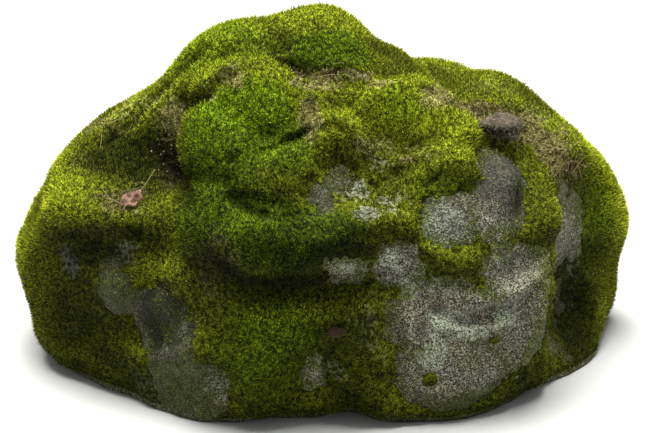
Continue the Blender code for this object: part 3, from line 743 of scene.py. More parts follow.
@functools.cache
def moss_sheets():
    """The mat's underside and top as two sheets of the same triangles, and what grows where."""
    points, faces, grain = stone_sheet()
    cover = moss_cover(points)
    fine = (vertex_normals(points, faces) @ (0, -1, 0) > FINE_FRONT) | (np.abs(cover) < FINE_RIM)
    fine = fine[faces].any(1) & (cover[faces] > -FINE_BEYOND).any(1)
    points, faces = split_where(np.column_stack([points, grain]), faces, fine)
    points, grain = points[:, :3], points[:, 3]
    normals = vertex_normals(points - outward(points) * grain[:, None], faces)
    cover = moss_cover(points)
    numbers, ends, shares = rim_cuts(cover, faces)
    kept, rim = large_sheets(*covered_part(faces, cover, numbers))

    def with_cuts(values):
        return np.concatenate([values, values[ends[:, 0]] * (1 - shares) + values[ends[:, 1]] * shares])

    facing = (normals * outward(points)).sum(1).clip(STEEPEST, 1)[:, None]
    leaning = with_cuts(levelled(facing, faces, EVENING_ROUNDS))[:, 0]
    under = with_cuts(points)
    under += outward(under) * (MOSS_GAP / leaning)[:, None]
    grain = with_cuts(grain[:, None])[:, 0]
    inside = np.concatenate([cover, np.zeros(len(ends))])

    used, kept = np.unique(np.array(kept), return_inverse=True)
    place = np.full(len(under), -1)
    place[used] = np.arange(len(used))
    kept, rim = kept.reshape(-1, 3), place[np.array(rim)]
    under, grain, inside, leaning = (values[used] for values in (under, grain, inside, leaning))
    out = outward(under)
    even = np.minimum(levelled(inside[:, None], kept, EVENING_ROUNDS)[:, 0], RIM_STEEPNESS * inside)
    thick = moss_thickness(under, even) - SHOOT_REACH
    crest = under + out * thick[:, None]
    swell = (even / RIM_WIDTH).clip(0, 1)
    folds = folded(crest, CREASES) * swell
    thick += waves(crest, MAT_LUMPS) * swell - folds
    thick -= grain * leaning * eased(even, 0.0, FILLED * RIM_WIDTH)  # the moss fills the stone's grain
    top = under + out * (thick.clip(LEAST_MAT, None) / leaning)[:, None]
    raised = ((relief(top, kept, RELIEF_ROUNDS) * out).sum(1) - ROUNDNESS) * swell
    thick = (thick + RELIEF_GAIN * raised * leaning).clip(LEAST_MAT, None)
    top = under + out * (thick / leaning)[:, None]
    return under, top, kept, rim, moss_growth(top, vertex_normals(top, kept), inside, raised, folds)


def moss_growth(points, normals, inside, raised=0.0, folds=0.0):
    """What grows at each point of the moss: the fields that its colour and shoots follow, with a shade field of
    painted shade and light.
    """
    ragged, patchy = waves(points, MOSS_RAGGED), waves(points, MOSS_PATCHY)
    dead = 0.75 * in_spots(points, DEAD, 1.6 * ragged) + 0.30 * eased(patchy, 0.15, 0.55)
    crust = (in_spots(points, CRUST, ragged) * 0.9).clip(0, 1)
    dark = in_spots(points, DARK, 0.4 * ragged)
    # Painted shade and light: the moss is darker on steep and downward slopes, in the dark places, folds and
    # hollows, and brighter in the bright places and on crests.
    sun = eased(normals[:, 2], NIGHT, NOON)
    shade = (NIGHT_SHADE + (1 - NIGHT_SHADE) * sun) * (1 - dark * 0.75)
    shade = shade * np.exp(-CREASE_PAINTED_SHADE * np.asarray(folds))
    shade = shade * (1 + in_spots(points, BRIGHT, 0.4 * ragged)) * np.exp(HOLLOW_PAINTED_SHADE * raised)
    lush = (in_spots(points, LUSH, 0.6 * ragged) + 0.35 * patchy).clip(0, 1)
    dead = dead.clip(0, 1)
    young = 0.40 + 0.60 * eased(inside, 0.0, 0.5 * RIM_WIDTH)
    return {
        "lush": lush * (1 - 0.7 * dead),
        "dead": dead,
        "crust": crust,
        "shade": shade.clip(0.06, 1.5),
        "density": (1 - 0.45 * dead) * (1 - 0.85 * crust),
        "long": young * (1 - 0.35 * dead) * (1 - 0.4 * crust),
    }


# ------------------------------------------------------------------- the meshes
def new_mesh(name, points, faces, fields=()):
    """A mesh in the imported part's frame from places measured from the peg."""
    mesh = bpy.data.meshes.new(name)
    mesh.from_pydata((points + PEG).tolist(), [], faces.tolist() if isinstance(faces, np.ndarray) else faces)
    mesh.polygons.foreach_set("use_smooth", np.ones(len(mesh.polygons), bool))
    for field in fields:
        values = mesh.attributes.new(field, "FLOAT", "POINT").data
        values.foreach_set("value", fields[field].astype(np.float32))
    mesh.update()
    return mesh


def add_piece(name, mesh, material=None, stands_for=()):
    """Puts a finished mesh in the scene as a piece of the boulder."""
    if material:
        mesh.materials.clear()
        mesh.materials.append(material)
    piece = bpy.data.objects.new(name, mesh)
    bpy.context.scene.collection.objects.link(piece)
    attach(piece, "root")
    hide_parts(*stands_for)
    return piece


def remove_piece(name):
    """Takes away a piece made by an earlier run, so that an operator can be run again."""
    old = bpy.data.objects.get(name)
    if old:
        bpy.data.objects.remove(old)


# ------------------------------------------------------------ building node trees
class Tree:
    """Short ways to add nodes to a tree and link them."""

    def __init__(self, tree):
        self.tree = tree

    def add(self, kind, inputs=(), **settings):
        node = self.tree.nodes.new(kind)
        for key, value in settings.items():
            setattr(node, key, value)
        for key, value in dict(inputs).items():
            self.put(node.inputs[key], value)
        return node

    def put(self, socket, value):
        if isinstance(value, bpy.types.NodeSocket):
            self.tree.links.new(value, socket)
        elif value is not None:
            socket.default_value = value

    def math(self, operation, *values):
        node = self.add("ShaderNodeMath", operation=operation)
        for socket, value in zip(node.inputs, values):
            self.put(socket, value)
        return node.outputs[0]

    def mix(self, share, first, second, blend="MIX"):
        node = self.add("ShaderNodeMix", {0: share, 6: first, 7: second}, data_type="RGBA", blend_type=blend)
        return node.outputs[2]

    def ease(self, value, low, high, to_low=0.0, to_high=1.0):
        inputs = {0: value, 1: low, 2: high, 3: to_low, 4: to_high}
        return self.add("ShaderNodeMapRange", inputs, interpolation_type="SMOOTHSTEP").outputs[0]

    def noise(self, vector, scale, detail=2.0, roughness=0.5):
        inputs = {"Vector": vector, "Scale": scale, "Detail": detail, "Roughness": roughness}
        return self.add("ShaderNodeTexNoise", inputs).outputs[0]

    def shaded(self, colour, light):
        grey = self.add("ShaderNodeCombineColor", {0: light, 1: light, 2: light}).outputs[0]
        return self.mix(1.0, colour, grey, "MULTIPLY")

    def field(self, name):
        return self.add("ShaderNodeAttribute", attribute_name=name).outputs["Fac"]

    def place(self):
        return self.add("ShaderNodeTexCoord").outputs["Object"]


def opaque(colour):
    return (*colour[:3], 1.0)


SOCKETS = {
    float: "NodeSocketFloat",
    int: "NodeSocketInt",
    tuple: "NodeSocketColor",
    "vector": "NodeSocketVector",
    "geometry": "NodeSocketGeometry",
    "material": "NodeSocketMaterial",
}


def group(name, tree_kind, inputs, outputs):
    """A node group with named inputs and outputs: its Tree, its inputs by name, its output node."""
    tree = bpy.data.node_groups.new(name, tree_kind)
    for label, value in inputs.items():
        kind = SOCKETS[type(value)] if type(value) in SOCKETS else SOCKETS[value]
        socket = tree.interface.new_socket(label, in_out="INPUT", socket_type=kind)
        if type(value) in SOCKETS:
            socket.default_value = value
    for label, value in outputs.items():
        tree.interface.new_socket(label, in_out="OUTPUT", socket_type=SOCKETS[value])
    build = Tree(tree)
    return build, build.add("NodeGroupInput").outputs, build.add("NodeGroupOutput")


def use_group(build, maker, inputs):
    """Places a shared shader group in a material, with this material's own values."""
    node = build.add("ShaderNodeGroup", node_tree=maker())
    for key, value in inputs.items():
        build.put(node.inputs[key], value)
    return node.outputs


def surfaced(name, roughness, specular):
    """A new material with a Principled surface: its Tree and the surface node."""
    material = bpy.data.materials.new(name)
    material.use_nodes = True
    build = Tree(material.node_tree)
    surface = material.node_tree.nodes["Principled BSDF"]
    surface.inputs["Roughness"].default_value = roughness
    surface.inputs["Specular IOR Level"].default_value = specular
    return material, build, surface


def bumped(build, surface, height, strength, distance):
    bump = build.add("ShaderNodeBump", {"Height": height, "Strength": strength, "Distance": distance})
    build.put(surface.inputs["Normal"], bump.outputs[0])


# ------------------------------------------------------------------ shader groups
@functools.cache
def grain_group():
    """Crystals of granite: dark mica, grey quartz and pale feldspar, with a height for bumps."""
    build, given, out = group(
        "Granite crystals", "ShaderNodeTree",
        {
            "Vector": "vector", "Crystals": 300.0, "Dark": opaque((0.05,) * 3), "Middle": opaque((0.2,) * 3),
            "Pale": opaque((0.5,) * 3),
        },
        {"Color": tuple, "Height": float},
    )
    cells = build.add("ShaderNodeTexVoronoi", {"Vector": given["Vector"], "Scale": given["Crystals"]})
    pick = build.add("ShaderNodeSeparateColor", {0: cells.outputs["Color"]}).outputs[0]
    fine, clump = build.noise(given["Vector"], 900.0, 2.0), build.noise(given["Vector"], 260.0, 5.0, 0.65)
    value = build.math("ADD", build.math("MULTIPLY", pick, 0.55), build.math("MULTIPLY", fine, 0.45))
    value = build.math("ADD", value, build.math("MULTIPLY_ADD", clump, 0.8, -0.40))
    colour = build.mix(build.ease(value, 0.22, 0.49), given["Dark"], given["Middle"])
    colour = build.mix(build.ease(value, 0.50, 0.78), colour, given["Pale"])
    build.put(out.inputs["Color"], colour)
    build.put(out.inputs["Height"], build.math("ADD", value, cells.outputs["Distance"]))
    return build.tree


@functools.cache
def patch_group():
    """A mask that frays a field at its edge, for crusts, films and stains."""
    build, given, out = group(
        "Frayed patch", "ShaderNodeTree",
        {"Vector": "vector", "Field": 0.0, "Scale": 90.0, "Fray": 0.6, "Edge": 0.12},
        {"Mask": float},
    )
    coarse = build.noise(given["Vector"], given["Scale"], 6.0, 0.68)
    fray = build.math("MULTIPLY", build.math("SUBTRACT", coarse, 0.5), given["Fray"])
    value = build.math("ADD", given["Field"], fray)
    low = build.math("SUBTRACT", 0.45, given["Edge"])
    high = build.math("ADD", 0.45, given["Edge"])
    build.put(out.inputs["Mask"], build.ease(value, low, high))
    return build.tree


@functools.cache
def moss_group():
    """Colour of a moss shoot from root to tip: green, olive or dying, brighter at its tip partly by its own
    colour and partly as painted light, darker towards its root as painted shade, and multiplied by the painted
    shade of the Shade field.
    """
    build, given, out = group(
        "Moss shoot colour", "ShaderNodeTree",
        {
            "Tip": 1.0, "Tone": 0.5, "Tint": 0.5, "Lush": 0.0, "Dead": 0.0, "Crust": 0.0, "Shade": 1.0,
            "Green": (0.05, 0.15, 0.0, 1.0), "Olive": (0.1, 0.13, 0.0, 1.0),
            "Green Tip": (0.2, 0.4, 0.02, 1.0), "Olive Tip": (0.4, 0.4, 0.05, 1.0),
            "Brown": (0.1, 0.06, 0.02, 1.0), "Straw": (0.5, 0.4, 0.2, 1.0), "Lichen": (0.3, 0.34, 0.2, 1.0),
        },
        {"Color": tuple},
    )
    lush = build.math("MULTIPLY_ADD", given["Tint"], 0.35, build.math("SUBTRACT", given["Lush"], 0.17))
    lush = build.ease(lush, 0.1, 0.8)
    dying = build.ease(build.math("MULTIPLY_ADD", given["Tint"], 0.9, given["Dead"]), 0.80, 1.15)
    pale = build.ease(build.math("MULTIPLY_ADD", given["Tone"], 0.8, given["Crust"]), 0.75, 1.25)
    body = build.mix(dying, build.mix(lush, given["Olive"], given["Green"]), given["Brown"])
    point = build.mix(dying, build.mix(lush, given["Olive Tip"], given["Green Tip"]), given["Straw"])
    body, point = build.mix(pale, body, given["Lichen"]), build.mix(pale, point, given["Lichen"])
    toned = build.math("MULTIPLY_ADD", given["Tone"], 0.9, 0.1)
    # Painted light: the tip's bright colour stands in partly for light through the leaves, as well as their own
    # paler colour.
    glow = build.math("MULTIPLY", build.math("POWER", given["Tip"], 1.6), toned)
    # Painted shade: darker towards the root, where the shoots shade one another.
    depth = build.ease(given["Tip"], -0.1, 0.65, 0.10, 1.0)
    own_light = build.math("MULTIPLY_ADD", given["Tone"], 1.6, 0.20)
    light = build.math("MULTIPLY", build.math("MULTIPLY", depth, given["Shade"]), own_light)
    build.put(out.inputs["Color"], build.shaded(build.mix(glow, body, point), light))
    return build.tree


# --------------------------------------------------------------------- materials
GROWN = ("lush", "dead", "crust", "shade")  # the moss's fields that its colours follow


def moss_colour(build, **own):
    """The moss group's colour, from the settings, the fields on the mesh and a shoot's own values."""
    moss = bpy.context.scene.boulder_moss
    inputs = {name.title(): value for name, value in own.items()}
    inputs.update({name.title(): build.field(name) for name in GROWN})
    for name in ("green", "green_tip", "olive", "olive_tip", "brown", "straw", "lichen"):
        inputs[name.replace("_", " ").title()] = opaque(getattr(moss, name))
    return use_group(build, moss_group, inputs)["Color"]


def crystals(build, place, per_metre, dark, middle, pale):
    inputs = {"Vector": place, "Crystals": per_metre}
    inputs.update({"Dark": opaque(dark), "Middle": opaque(middle), "Pale": opaque(pale)})
    return use_group(build, grain_group, inputs)


def frayed(build, place, field, scale, fray, edge):
    inputs = {"Vector": place, "Field": build.field(field), "Scale": scale, "Fray": fray, "Edge": edge}
    return use_group(build, patch_group, inputs)["Mask"]


@functools.cache
def shoot_material():
    material, build, surface = surfaced("moss_shoots", 0.8, 0.06)
    colour = moss_colour(build, tip=build.field("tip"), tone=build.field("tone"), tint=build.field("tint"))
    build.put(surface.inputs["Base Color"], colour)
    return material


@functools.cache
def mat_material():
    material, build, surface = surfaced("moss_mat", 0.9, 0.1)
    place = build.place()
    speckle, coarse = build.noise(place, 420.0, 3.0, 0.7), build.noise(place, 130.0, 3.0)
    # Painted shade: the mat's colour is taken low on the shoots, so it is darkened as their shaded roots are.
    tip = build.ease(speckle, 0.35, 0.75, 0.05, 0.55)
    colour = moss_colour(build, tip=tip, tone=build.ease(coarse, 0.3, 0.7), tint=coarse)
    build.put(surface.inputs["Base Color"], colour)
    bumped(build, surface, speckle, 0.8, 0.003)
    return material


@functools.cache
def stone_material():
    stone = bpy.context.scene.boulder_stone
    material, build, surface = surfaced("granite", 0.82, 0.3)
    place = build.place()
    grain = crystals(build, place, stone.crystals, stone.dark, stone.middle, stone.pale)
    cloud = build.noise(place, 16.0, 5.0, 0.6)
    warm = build.mix(build.ease(cloud, 0.35, 0.65), (0.92, 0.96, 1.04, 1.0), (1.05, 1.0, 0.95, 1.0))
    colour = build.mix(1.0, grain["Color"], warm, "MULTIPLY")
    crust = frayed(build, place, "lichen", 60.0, 3.2, 0.26)
    bloom = build.noise(place, 360.0, 4.0, 0.70)
    crusted = build.mix(build.ease(bloom, 0.43, 0.58), opaque(stone.lichen_deep), opaque(stone.lichen))
    colour = build.mix(build.math("MULTIPLY", crust, 0.90), colour, crusted)
    film = frayed(build, place, "film", 110.0, 3.2, 0.30)
    green = build.mix(bloom, opaque(stone.film_deep), opaque(stone.film))
    tinted = build.mix(0.25, build.mix(1.0, colour, (0.52, 0.64, 0.24, 1.0), "MULTIPLY"), green)
    # Painted shade and light: the colour is multiplied by the shade field.
    colour = build.shaded(build.mix(film, colour, tinted), build.field("shade"))
    build.put(surface.inputs["Base Color"], colour)
    build.put(surface.inputs["Roughness"], build.math("MULTIPLY_ADD", crust, 0.12, 0.78))
    raised = build.math("MULTIPLY", bloom, build.math("MULTIPLY_ADD", crust, 2.0, 0.6))
    bumped(build, surface, build.math("ADD", grain["Height"], raised), 0.55, 0.0016)
    return material


@functools.cache
def crumb_material():
    stone = bpy.context.scene.boulder_stone
    material, build, surface = surfaced("lichen_crust", 0.9, 0.15)
    place = build.place()
    bloom = build.noise(place, 500.0, 3.0, 0.65)
    tone = build.math("MULTIPLY", build.field("tone"), 0.7)
    pick = build.math("ADD", tone, build.math("MULTIPLY", bloom, 0.3))
    colour = build.mix(build.ease(pick, 0.15, 0.85), opaque(stone.lichen_deep), opaque(stone.lichen))
    # Painted shade: the colour is multiplied by the shade field.
    build.put(surface.inputs["Base Color"], build.shaded(colour, build.field("shade")))
    bumped(build, surface, bloom, 0.5, 0.001)
    return material


@functools.cache
def loose_material():
    loose = bpy.context.scene.boulder_litter
    material, build, surface = surfaced("loose_stone", 0.85, 0.3)
    place = build.place()
    grain = crystals(build, place, 240.0, loose.stone_dark, loose.stone_middle, loose.stone_pale)
    top = frayed(build, place, "top", 120.0, 1.0, 0.2)
    # Painted highlight: the upward faces are mixed towards a paler top colour.
    colour = build.mix(build.math("MULTIPLY", top, 0.55), grain["Color"], opaque(loose.stone_top_highlight))
    build.put(surface.inputs["Base Color"], colour)
    bumped(build, surface, grain["Height"], 0.7, 0.0020)
    return material


@functools.cache
def bark_material():
    loose = bpy.context.scene.boulder_litter
    material, build, surface = surfaced("bark", 0.9, 0.15)
    place = build.place()
    along = build.add("ShaderNodeMapping", {"Vector": place, "Scale": (0.35, 1.0, 1.6)}).outputs[0]
    fibre = build.noise(along, 420.0, 4.0, 0.65)
    colour = build.mix(build.ease(fibre, 0.35, 0.68), opaque(loose.bark_dark), opaque(loose.bark))
    build.put(surface.inputs["Base Color"], colour)
    bumped(build, surface, fibre, 0.9, 0.0015)
    return material


@functools.cache
def litter_material():
    """Needles, straws and twigs: each has its own tone from straw to brown."""
    loose = bpy.context.scene.boulder_litter
    material, build, surface = surfaced("dry_litter", 0.7, 0.25)
    tone = build.field("tone")
    fine = build.noise(build.place(), 600.0, 2.0)
    colour = build.mix(build.ease(tone, 0.1, 0.9), opaque(loose.needle_dark), opaque(loose.needle))
    colour = build.mix(build.math("MULTIPLY", build.ease(fine, 0.4, 0.7), 0.35), colour, opaque(loose.straw))
    build.put(surface.inputs["Base Color"], colour)
    return material


@functools.cache
def leaf_material():
    """A rotting scrap of leaf."""
    loose = bpy.context.scene.boulder_litter
    material, build, surface = surfaced("leaf_scrap", 0.65, 0.3)
    place = build.place()
    blotch, fine = build.noise(place, 140.0, 4.0, 0.6), build.noise(place, 700.0, 2.0)
    colour = build.mix(build.ease(blotch, 0.35, 0.65), opaque(loose.leaf_dark), opaque(loose.leaf))
    build.put(surface.inputs["Base Color"], colour)
    bumped(build, surface, fine, 0.5, 0.0008)
    return material


# ----------------------------------------------------------------- growing things
@functools.cache
def scatter_tree(shape):
    """Grows one small shape all over a bed: shoots, crumbs or needles."""
    inputs = {
        "Bed": "geometry", "Per Square Metre": 1000.0, "Width": 0.002, "Length": 0.008, "Outward": 1.0,
        "Upward": 0.3, "Spread": 0.6, "Sink": 0.001, "Seed": 0, "Tufts per Metre": 260.0, "Tufting": 0.38,
        "Material": "material",
    }
    build, given, out = group("Grow " + shape, "GeometryNodeTree", inputs, {"Geometry": "geometry"})

    def stored(name):
        return build.add("GeometryNodeInputNamedAttribute", {"Name": name}).outputs[0]

    def chance(low, high, step, kind="FLOAT"):
        seed = build.math("ADD", given["Seed"], float(step))
        node = build.add("FunctionNodeRandomValue", {"Seed": seed}, data_type=kind)
        first, second, result = (0, 1, 0) if kind == "FLOAT_VECTOR" else (2, 3, 1)
        build.put(node.inputs[first], low)
        build.put(node.inputs[second], high)
        return node.outputs[result]

    def vector(operation, *values):
        node = build.add("ShaderNodeVectorMath", operation=operation)
        names = {"SCALE": ("Vector", "Scale")}.get(operation, (0, 1, 2))
        for socket, value in zip(names, values):
            build.put(node.inputs[socket], value)
        return node.outputs[0]

    per_metre = build.math("MULTIPLY", given["Per Square Metre"], stored("density"))
    spread_out = build.add("GeometryNodeDistributePointsOnFaces", {"Mesh": given["Bed"], "Seed": given["Seed"]})
    build.put(next(s for s in spread_out.inputs if s.name == "Density"), per_metre)
    normal = spread_out.outputs["Normal"]
    if shape == "needles":
        bow = {"Resolution": 5, "Start": (0, 0, -0.5), "Middle": (0.1, 0, 0), "End": (0, 0, 0.5)}
        line = build.add("GeometryNodeCurveQuadraticBezier", bow).outputs[0]
        ring = {"Resolution": 4, "Radius": NEEDLE_THICK}
        ring = build.add("GeometryNodeCurvePrimitiveCircle", ring).outputs[0]
        swept = {"Curve": line, "Profile Curve": ring, "Fill Caps": True}
        body = build.add("GeometryNodeCurveToMesh", swept).outputs[0]
    else:
        sides, blunt = {"shoots": (3, 0.0), "crumbs": (5, 0.26)}[shape]
        cone = {"Vertices": sides, "Radius Top": blunt, "Radius Bottom": 0.5, "Depth": 1.0}
        body = build.add("GeometryNodeMeshCone", cone, fill_type="NGON").outputs["Mesh"]
    where = build.add("GeometryNodeInputPosition").outputs[0]
    height = build.add("ShaderNodeSeparateXYZ", {0: where}).outputs[2]
    tipped = {"Geometry": body, "Name": "tip", "Value": height}
    body = build.add("GeometryNodeStoreNamedAttribute", tipped).outputs[0]
    aim = vector("SCALE", normal, given["Outward"])
    lift = build.add("ShaderNodeCombineXYZ", {"Z": given["Upward"]}).outputs[0]
    stray = vector("SCALE", chance((-1.0,) * 3, (1.0,) * 3, 1, "FLOAT_VECTOR"), given["Spread"])
    place = build.add("GeometryNodeInputPosition").outputs[0]
    clusters = {"Vector": place, "Scale": given["Tufts per Metre"], "Detail": 1.0}
    tufts = build.add("ShaderNodeTexNoise", clusters).outputs
    together = vector("SCALE", vector("SUBTRACT", tufts[1], (0.5, 0.5, 0.5)), given["Tufting"])
    aim = vector("ADD", vector("ADD", vector("ADD", aim, lift), stray), together)
    swell = build.ease(tufts[0], 0.30, 0.66, 0.82, 1.12)
    if shape == "needles":
        aim = vector("CROSS_PRODUCT", normal, chance((-1.0,) * 3, (1.0,) * 3, 7, "FLOAT_VECTOR"))
    turned = build.add("FunctionNodeAlignRotationToVector", {"Vector": aim}, axis="Z").outputs[0]
    spin = build.add("ShaderNodeCombineXYZ", {"Z": chance(0.0, math.tau, 2)}).outputs[0]
    spin = build.add("FunctionNodeEulerToRotation", {0: spin}).outputs[0]
    turned = build.add("FunctionNodeRotateRotation", {0: turned, 1: spin}, rotation_space="LOCAL").outputs[0]
    wide = build.math("MULTIPLY", given["Width"], chance(0.7, 1.35, 3))
    thin = build.math("MULTIPLY", wide, 0.6)
    tall = build.math("MULTIPLY", given["Length"], chance(0.6, 1.3, 4))
    tall = build.math("MULTIPLY", build.math("MULTIPLY", tall, stored("long")), swell)
    x, y = {"shoots": (wide, thin), "crumbs": (wide, wide), "needles": (tall, tall)}[shape]
    size = build.add("ShaderNodeCombineXYZ", {"X": x, "Y": y, "Z": tall}).outputs[0]
    sunk = vector("SCALE", normal, build.math("MULTIPLY", given["Sink"], -1.0))
    sinking = {"Geometry": spread_out.outputs["Points"], "Offset": sunk}
    points = build.add("GeometryNodeSetPosition", sinking).outputs[0]
    standing = {"Points": points, "Instance": body, "Rotation": turned, "Scale": size}
    placed = build.add("GeometryNodeInstanceOnPoints", standing).outputs[0]
    for step, name in enumerate(("tone", "tint")):
        values = {"Geometry": placed, "Name": name, "Value": chance(0.0, 1.0, 5 + step)}
        placed = build.add("GeometryNodeStoreNamedAttribute", values, domain="INSTANCE").outputs[0]
    real = build.add("GeometryNodeRealizeInstances", {0: placed}).outputs[0]
    dressed = {"Geometry": real, "Material": given["Material"]}
    finished = build.add("GeometryNodeSetMaterial", dressed).outputs[0]
    build.put(out.inputs[0], finished)
    return build.tree


def grown(name, bed, shape, growth, sink, material):
    """A plain mesh of what grows on the bed."""
    tree = scatter_tree(shape)
    per_metre, width, length, out, up, spread, seed = growth
    values = {
        "Per Square Metre": float(per_metre), "Width": width / 1000, "Length": length / 1000, "Outward": out,
        "Upward": up, "Spread": spread, "Sink": sink, "Seed": seed, "Material": material,
    }
    grower = bpy.data.objects.new(name + "_bed", bed)
    bpy.context.scene.collection.objects.link(grower)
    grow = grower.modifiers.new("grow", "NODES")
    grow.node_group = tree
    for socket in tree.interface.items_tree:
        if socket.name in values:
            grow[socket.identifier] = values[socket.name]
    graph = bpy.context.evaluated_depsgraph_get()
    grown_there = grower.evaluated_get(graph)
    mesh = bpy.data.meshes.new_from_object(grown_there, preserve_all_data_layers=True, depsgraph=graph)
    grower.modifiers.clear()
    bpy.data.objects.remove(grower)
    for field in ("density", "long"):
        if field in mesh.attributes:
            mesh.attributes.remove(mesh.attributes[field])
    places = np.zeros(len(mesh.vertices) * 3)
    mesh.vertices.foreach_get("co", places)
    places[2::3] = places[2::3].clip(GROUND_CLEAR, None)
    mesh.vertices.foreach_set("co", places)
    mesh.name = name
    if not len(mesh.polygons):
        raise RuntimeError(f"nothing grew for {name}")
    return mesh


def interleaved(values, bits, step):
    """The bits of each value spread out, so that several values can be woven into one."""
    woven = np.zeros_like(values)
    for bit in range(bits):
        woven |= ((values >> bit) & 1) << (bit * step)
    return woven


def lay_out_shoots(mesh):
    """Gives each shoot a cell of its own in the map that colours are baked to, beside its neighbours'."""
    corners = np.zeros(len(mesh.vertices) * 3)
    mesh.vertices.foreach_get("co", corners)
    middles = corners.reshape(-1, 4, 3).mean(1)
    steps = ((middles - middles.min(0)) / np.ptp(middles, axis=0).max() * 1023).astype(np.int64)
    order = sum(interleaved(steps[:, axis], 10, 3) << axis for axis in range(3)).argsort()
    rank = np.empty(len(order), np.int64)
    rank[order] = np.arange(len(order))
    column = sum(((rank >> (2 * bit)) & 1) << bit for bit in range(8))
    row = sum(((rank >> (2 * bit + 1)) & 1) << bit for bit in range(8))
    tips = np.zeros(len(mesh.vertices), np.float32)
    mesh.attributes["tip"].data.foreach_get("value", tips)
    tip_at = int(tips[:4].argmax())
    around = [(0.08, 0.08), (0.92, 0.08), (0.5, 0.92)]
    spots = np.array(around[:tip_at] + [(0.5, 0.36)] + around[tip_at:])
    vertex = np.zeros(len(mesh.loops), np.int64)
    mesh.loops.foreach_get("vertex_index", vertex)
    uv = spots[vertex % 4]
    starts, sizes = np.zeros(len(mesh.polygons), np.int64), np.zeros(len(mesh.polygons), np.int64)
    mesh.polygons.foreach_get("loop_start", starts)
    mesh.polygons.foreach_get("loop_total", sizes)
    hidden = np.ones(len(starts), bool)
    for corner in range(3):
        hidden &= vertex[starts + corner] % 4 != tip_at
    for corner in range(3):
        uv[starts[hidden] + corner] = (0.93, 0.93 - 0.02 * corner)
    uv = (uv + np.stack([column, row], 1)[vertex // 4]) / BAKE_CELLS
    mesh.uv_layers.new(name="OFBake").data.foreach_set("uv", uv.ravel().astype(np.float32))


# ------------------------------------------------------------------- properties
def colour_prop(name, description, default):
    return FloatVectorProperty(
        name=name, description=description, default=default, subtype="COLOR", min=0, max=1
    )


class BoulderStone(bpy.types.PropertyGroup):
    crystals: FloatProperty(
        name="Crystals per Metre", description="How fine the granite's crystals are", default=560.0, min=50.0
    )
    dark: colour_prop("Dark Crystals", "Colour of the mica", (0.005, 0.005, 0.002))
    middle: colour_prop("Grey Crystals", "Colour of the quartz", (0.086, 0.080, 0.044))
    pale: colour_prop("Pale Crystals", "Colour of the feldspar", (0.54, 0.51, 0.38))
    lichen: colour_prop("Lichen", "Colour of the lichen's lobes", (0.70, 0.75, 0.58))
    lichen_deep: colour_prop("Lichen Gaps", "Colour between the lichen's lobes", (0.060, 0.070, 0.030))
    film: colour_prop("Green Film", "Colour of the thin green film on the stone", (0.17, 0.19, 0.03))
    film_deep: colour_prop("Damp Film", "Colour of the green film where it is damp", (0.035, 0.045, 0.008))


class BoulderMoss(bpy.types.PropertyGroup):
    green: colour_prop("Green", "Body of a well watered shoot", (0.115, 0.185, 0.003))
    green_tip: colour_prop("Green Tip", "Tip of a well watered shoot", (0.62, 0.86, 0.024))
    olive: colour_prop("Olive", "Body of a common shoot", (0.170, 0.215, 0.005))
    olive_tip: colour_prop("Olive Tip", "Tip of a common shoot", (0.84, 0.90, 0.060))
    brown: colour_prop("Brown", "Body of a dying shoot", (0.230, 0.210, 0.055))
    straw: colour_prop("Straw", "Tip of a dying shoot", (0.78, 0.75, 0.30))
    lichen: colour_prop("Grey Crust", "Crust that shows through thin moss", (0.34, 0.36, 0.24))
    length: FloatProperty(
        name="Shoot Length", description="Length of the shoots against the usual",
        default=1.0, min=0.2, max=1.5, subtype="FACTOR",
    )
    density: FloatProperty(
        name="Shoot Density", description="Number of shoots against the usual",
        default=1.0, min=0.1, max=1.1, subtype="FACTOR",
    )


class BoulderLitter(bpy.types.PropertyGroup):
    stone_dark: colour_prop("Loose Stone Dark", "Dark grains of the loose stone", (0.008, 0.006, 0.002))
    stone_middle: colour_prop("Loose Stone", "Colour of the loose stone", (0.040, 0.032, 0.015))
    stone_pale: colour_prop("Loose Stone Pale", "Pale grains of the loose stone", (0.20, 0.17, 0.115))
    # Painted highlight: the paler colour painted on the loose stone's upward faces.
    stone_top_highlight: colour_prop("Loose Stone Top", "Colour of the loose stone's dry top", (0.105, 0.080, 0.055))
    bark: colour_prop("Bark", "Ridges of the scrap of bark", (0.060, 0.042, 0.016))
    bark_dark: colour_prop("Bark Cracks", "Cracks of the scrap of bark", (0.018, 0.010, 0.006))
    needle: colour_prop("Needle", "Fresh fallen needles", (0.40, 0.29, 0.15))
    needle_dark: colour_prop("Old Needle", "Old fallen needles", (0.13, 0.075, 0.035))
    straw: colour_prop("Straw", "Dry straw", (0.55, 0.48, 0.30))
    leaf: colour_prop("Leaf", "Rotting leaf", (0.34, 0.18, 0.115))
    leaf_dark: colour_prop("Leaf Blotches", "Blotches on the rotting leaf", (0.085, 0.042, 0.022))
    needle_length: FloatProperty(
        name="Needle Length", description="Length of a fallen needle", default=0.034, min=0.01, unit="LENGTH"
    )


class BoulderStage(bpy.types.PropertyGroup):
    floor: colour_prop("Floor", "Colour of the plain floor", (0.80, 0.80, 0.79))
    overhead: FloatProperty(
        name="Overhead Light", description="Strength of the broad light overhead", default=620.0, unit="POWER"
    )
    sky: FloatProperty(
        name="Room Light", description="Strength of the light from all round", default=0.26, min=0.0
    )
    lens: FloatProperty(
        name="Lens", description="Focal length of the camera in millimetres", default=85.0, min=20.0
    )
    distance: FloatProperty(
        name="Camera Distance", description="From the camera to the boulder", default=3.0, unit="LENGTH"
    )
    elevation: FloatProperty(
        name="Camera Elevation", description="Of the camera over the horizon",
        default=math.radians(20), subtype="ANGLE",
    )


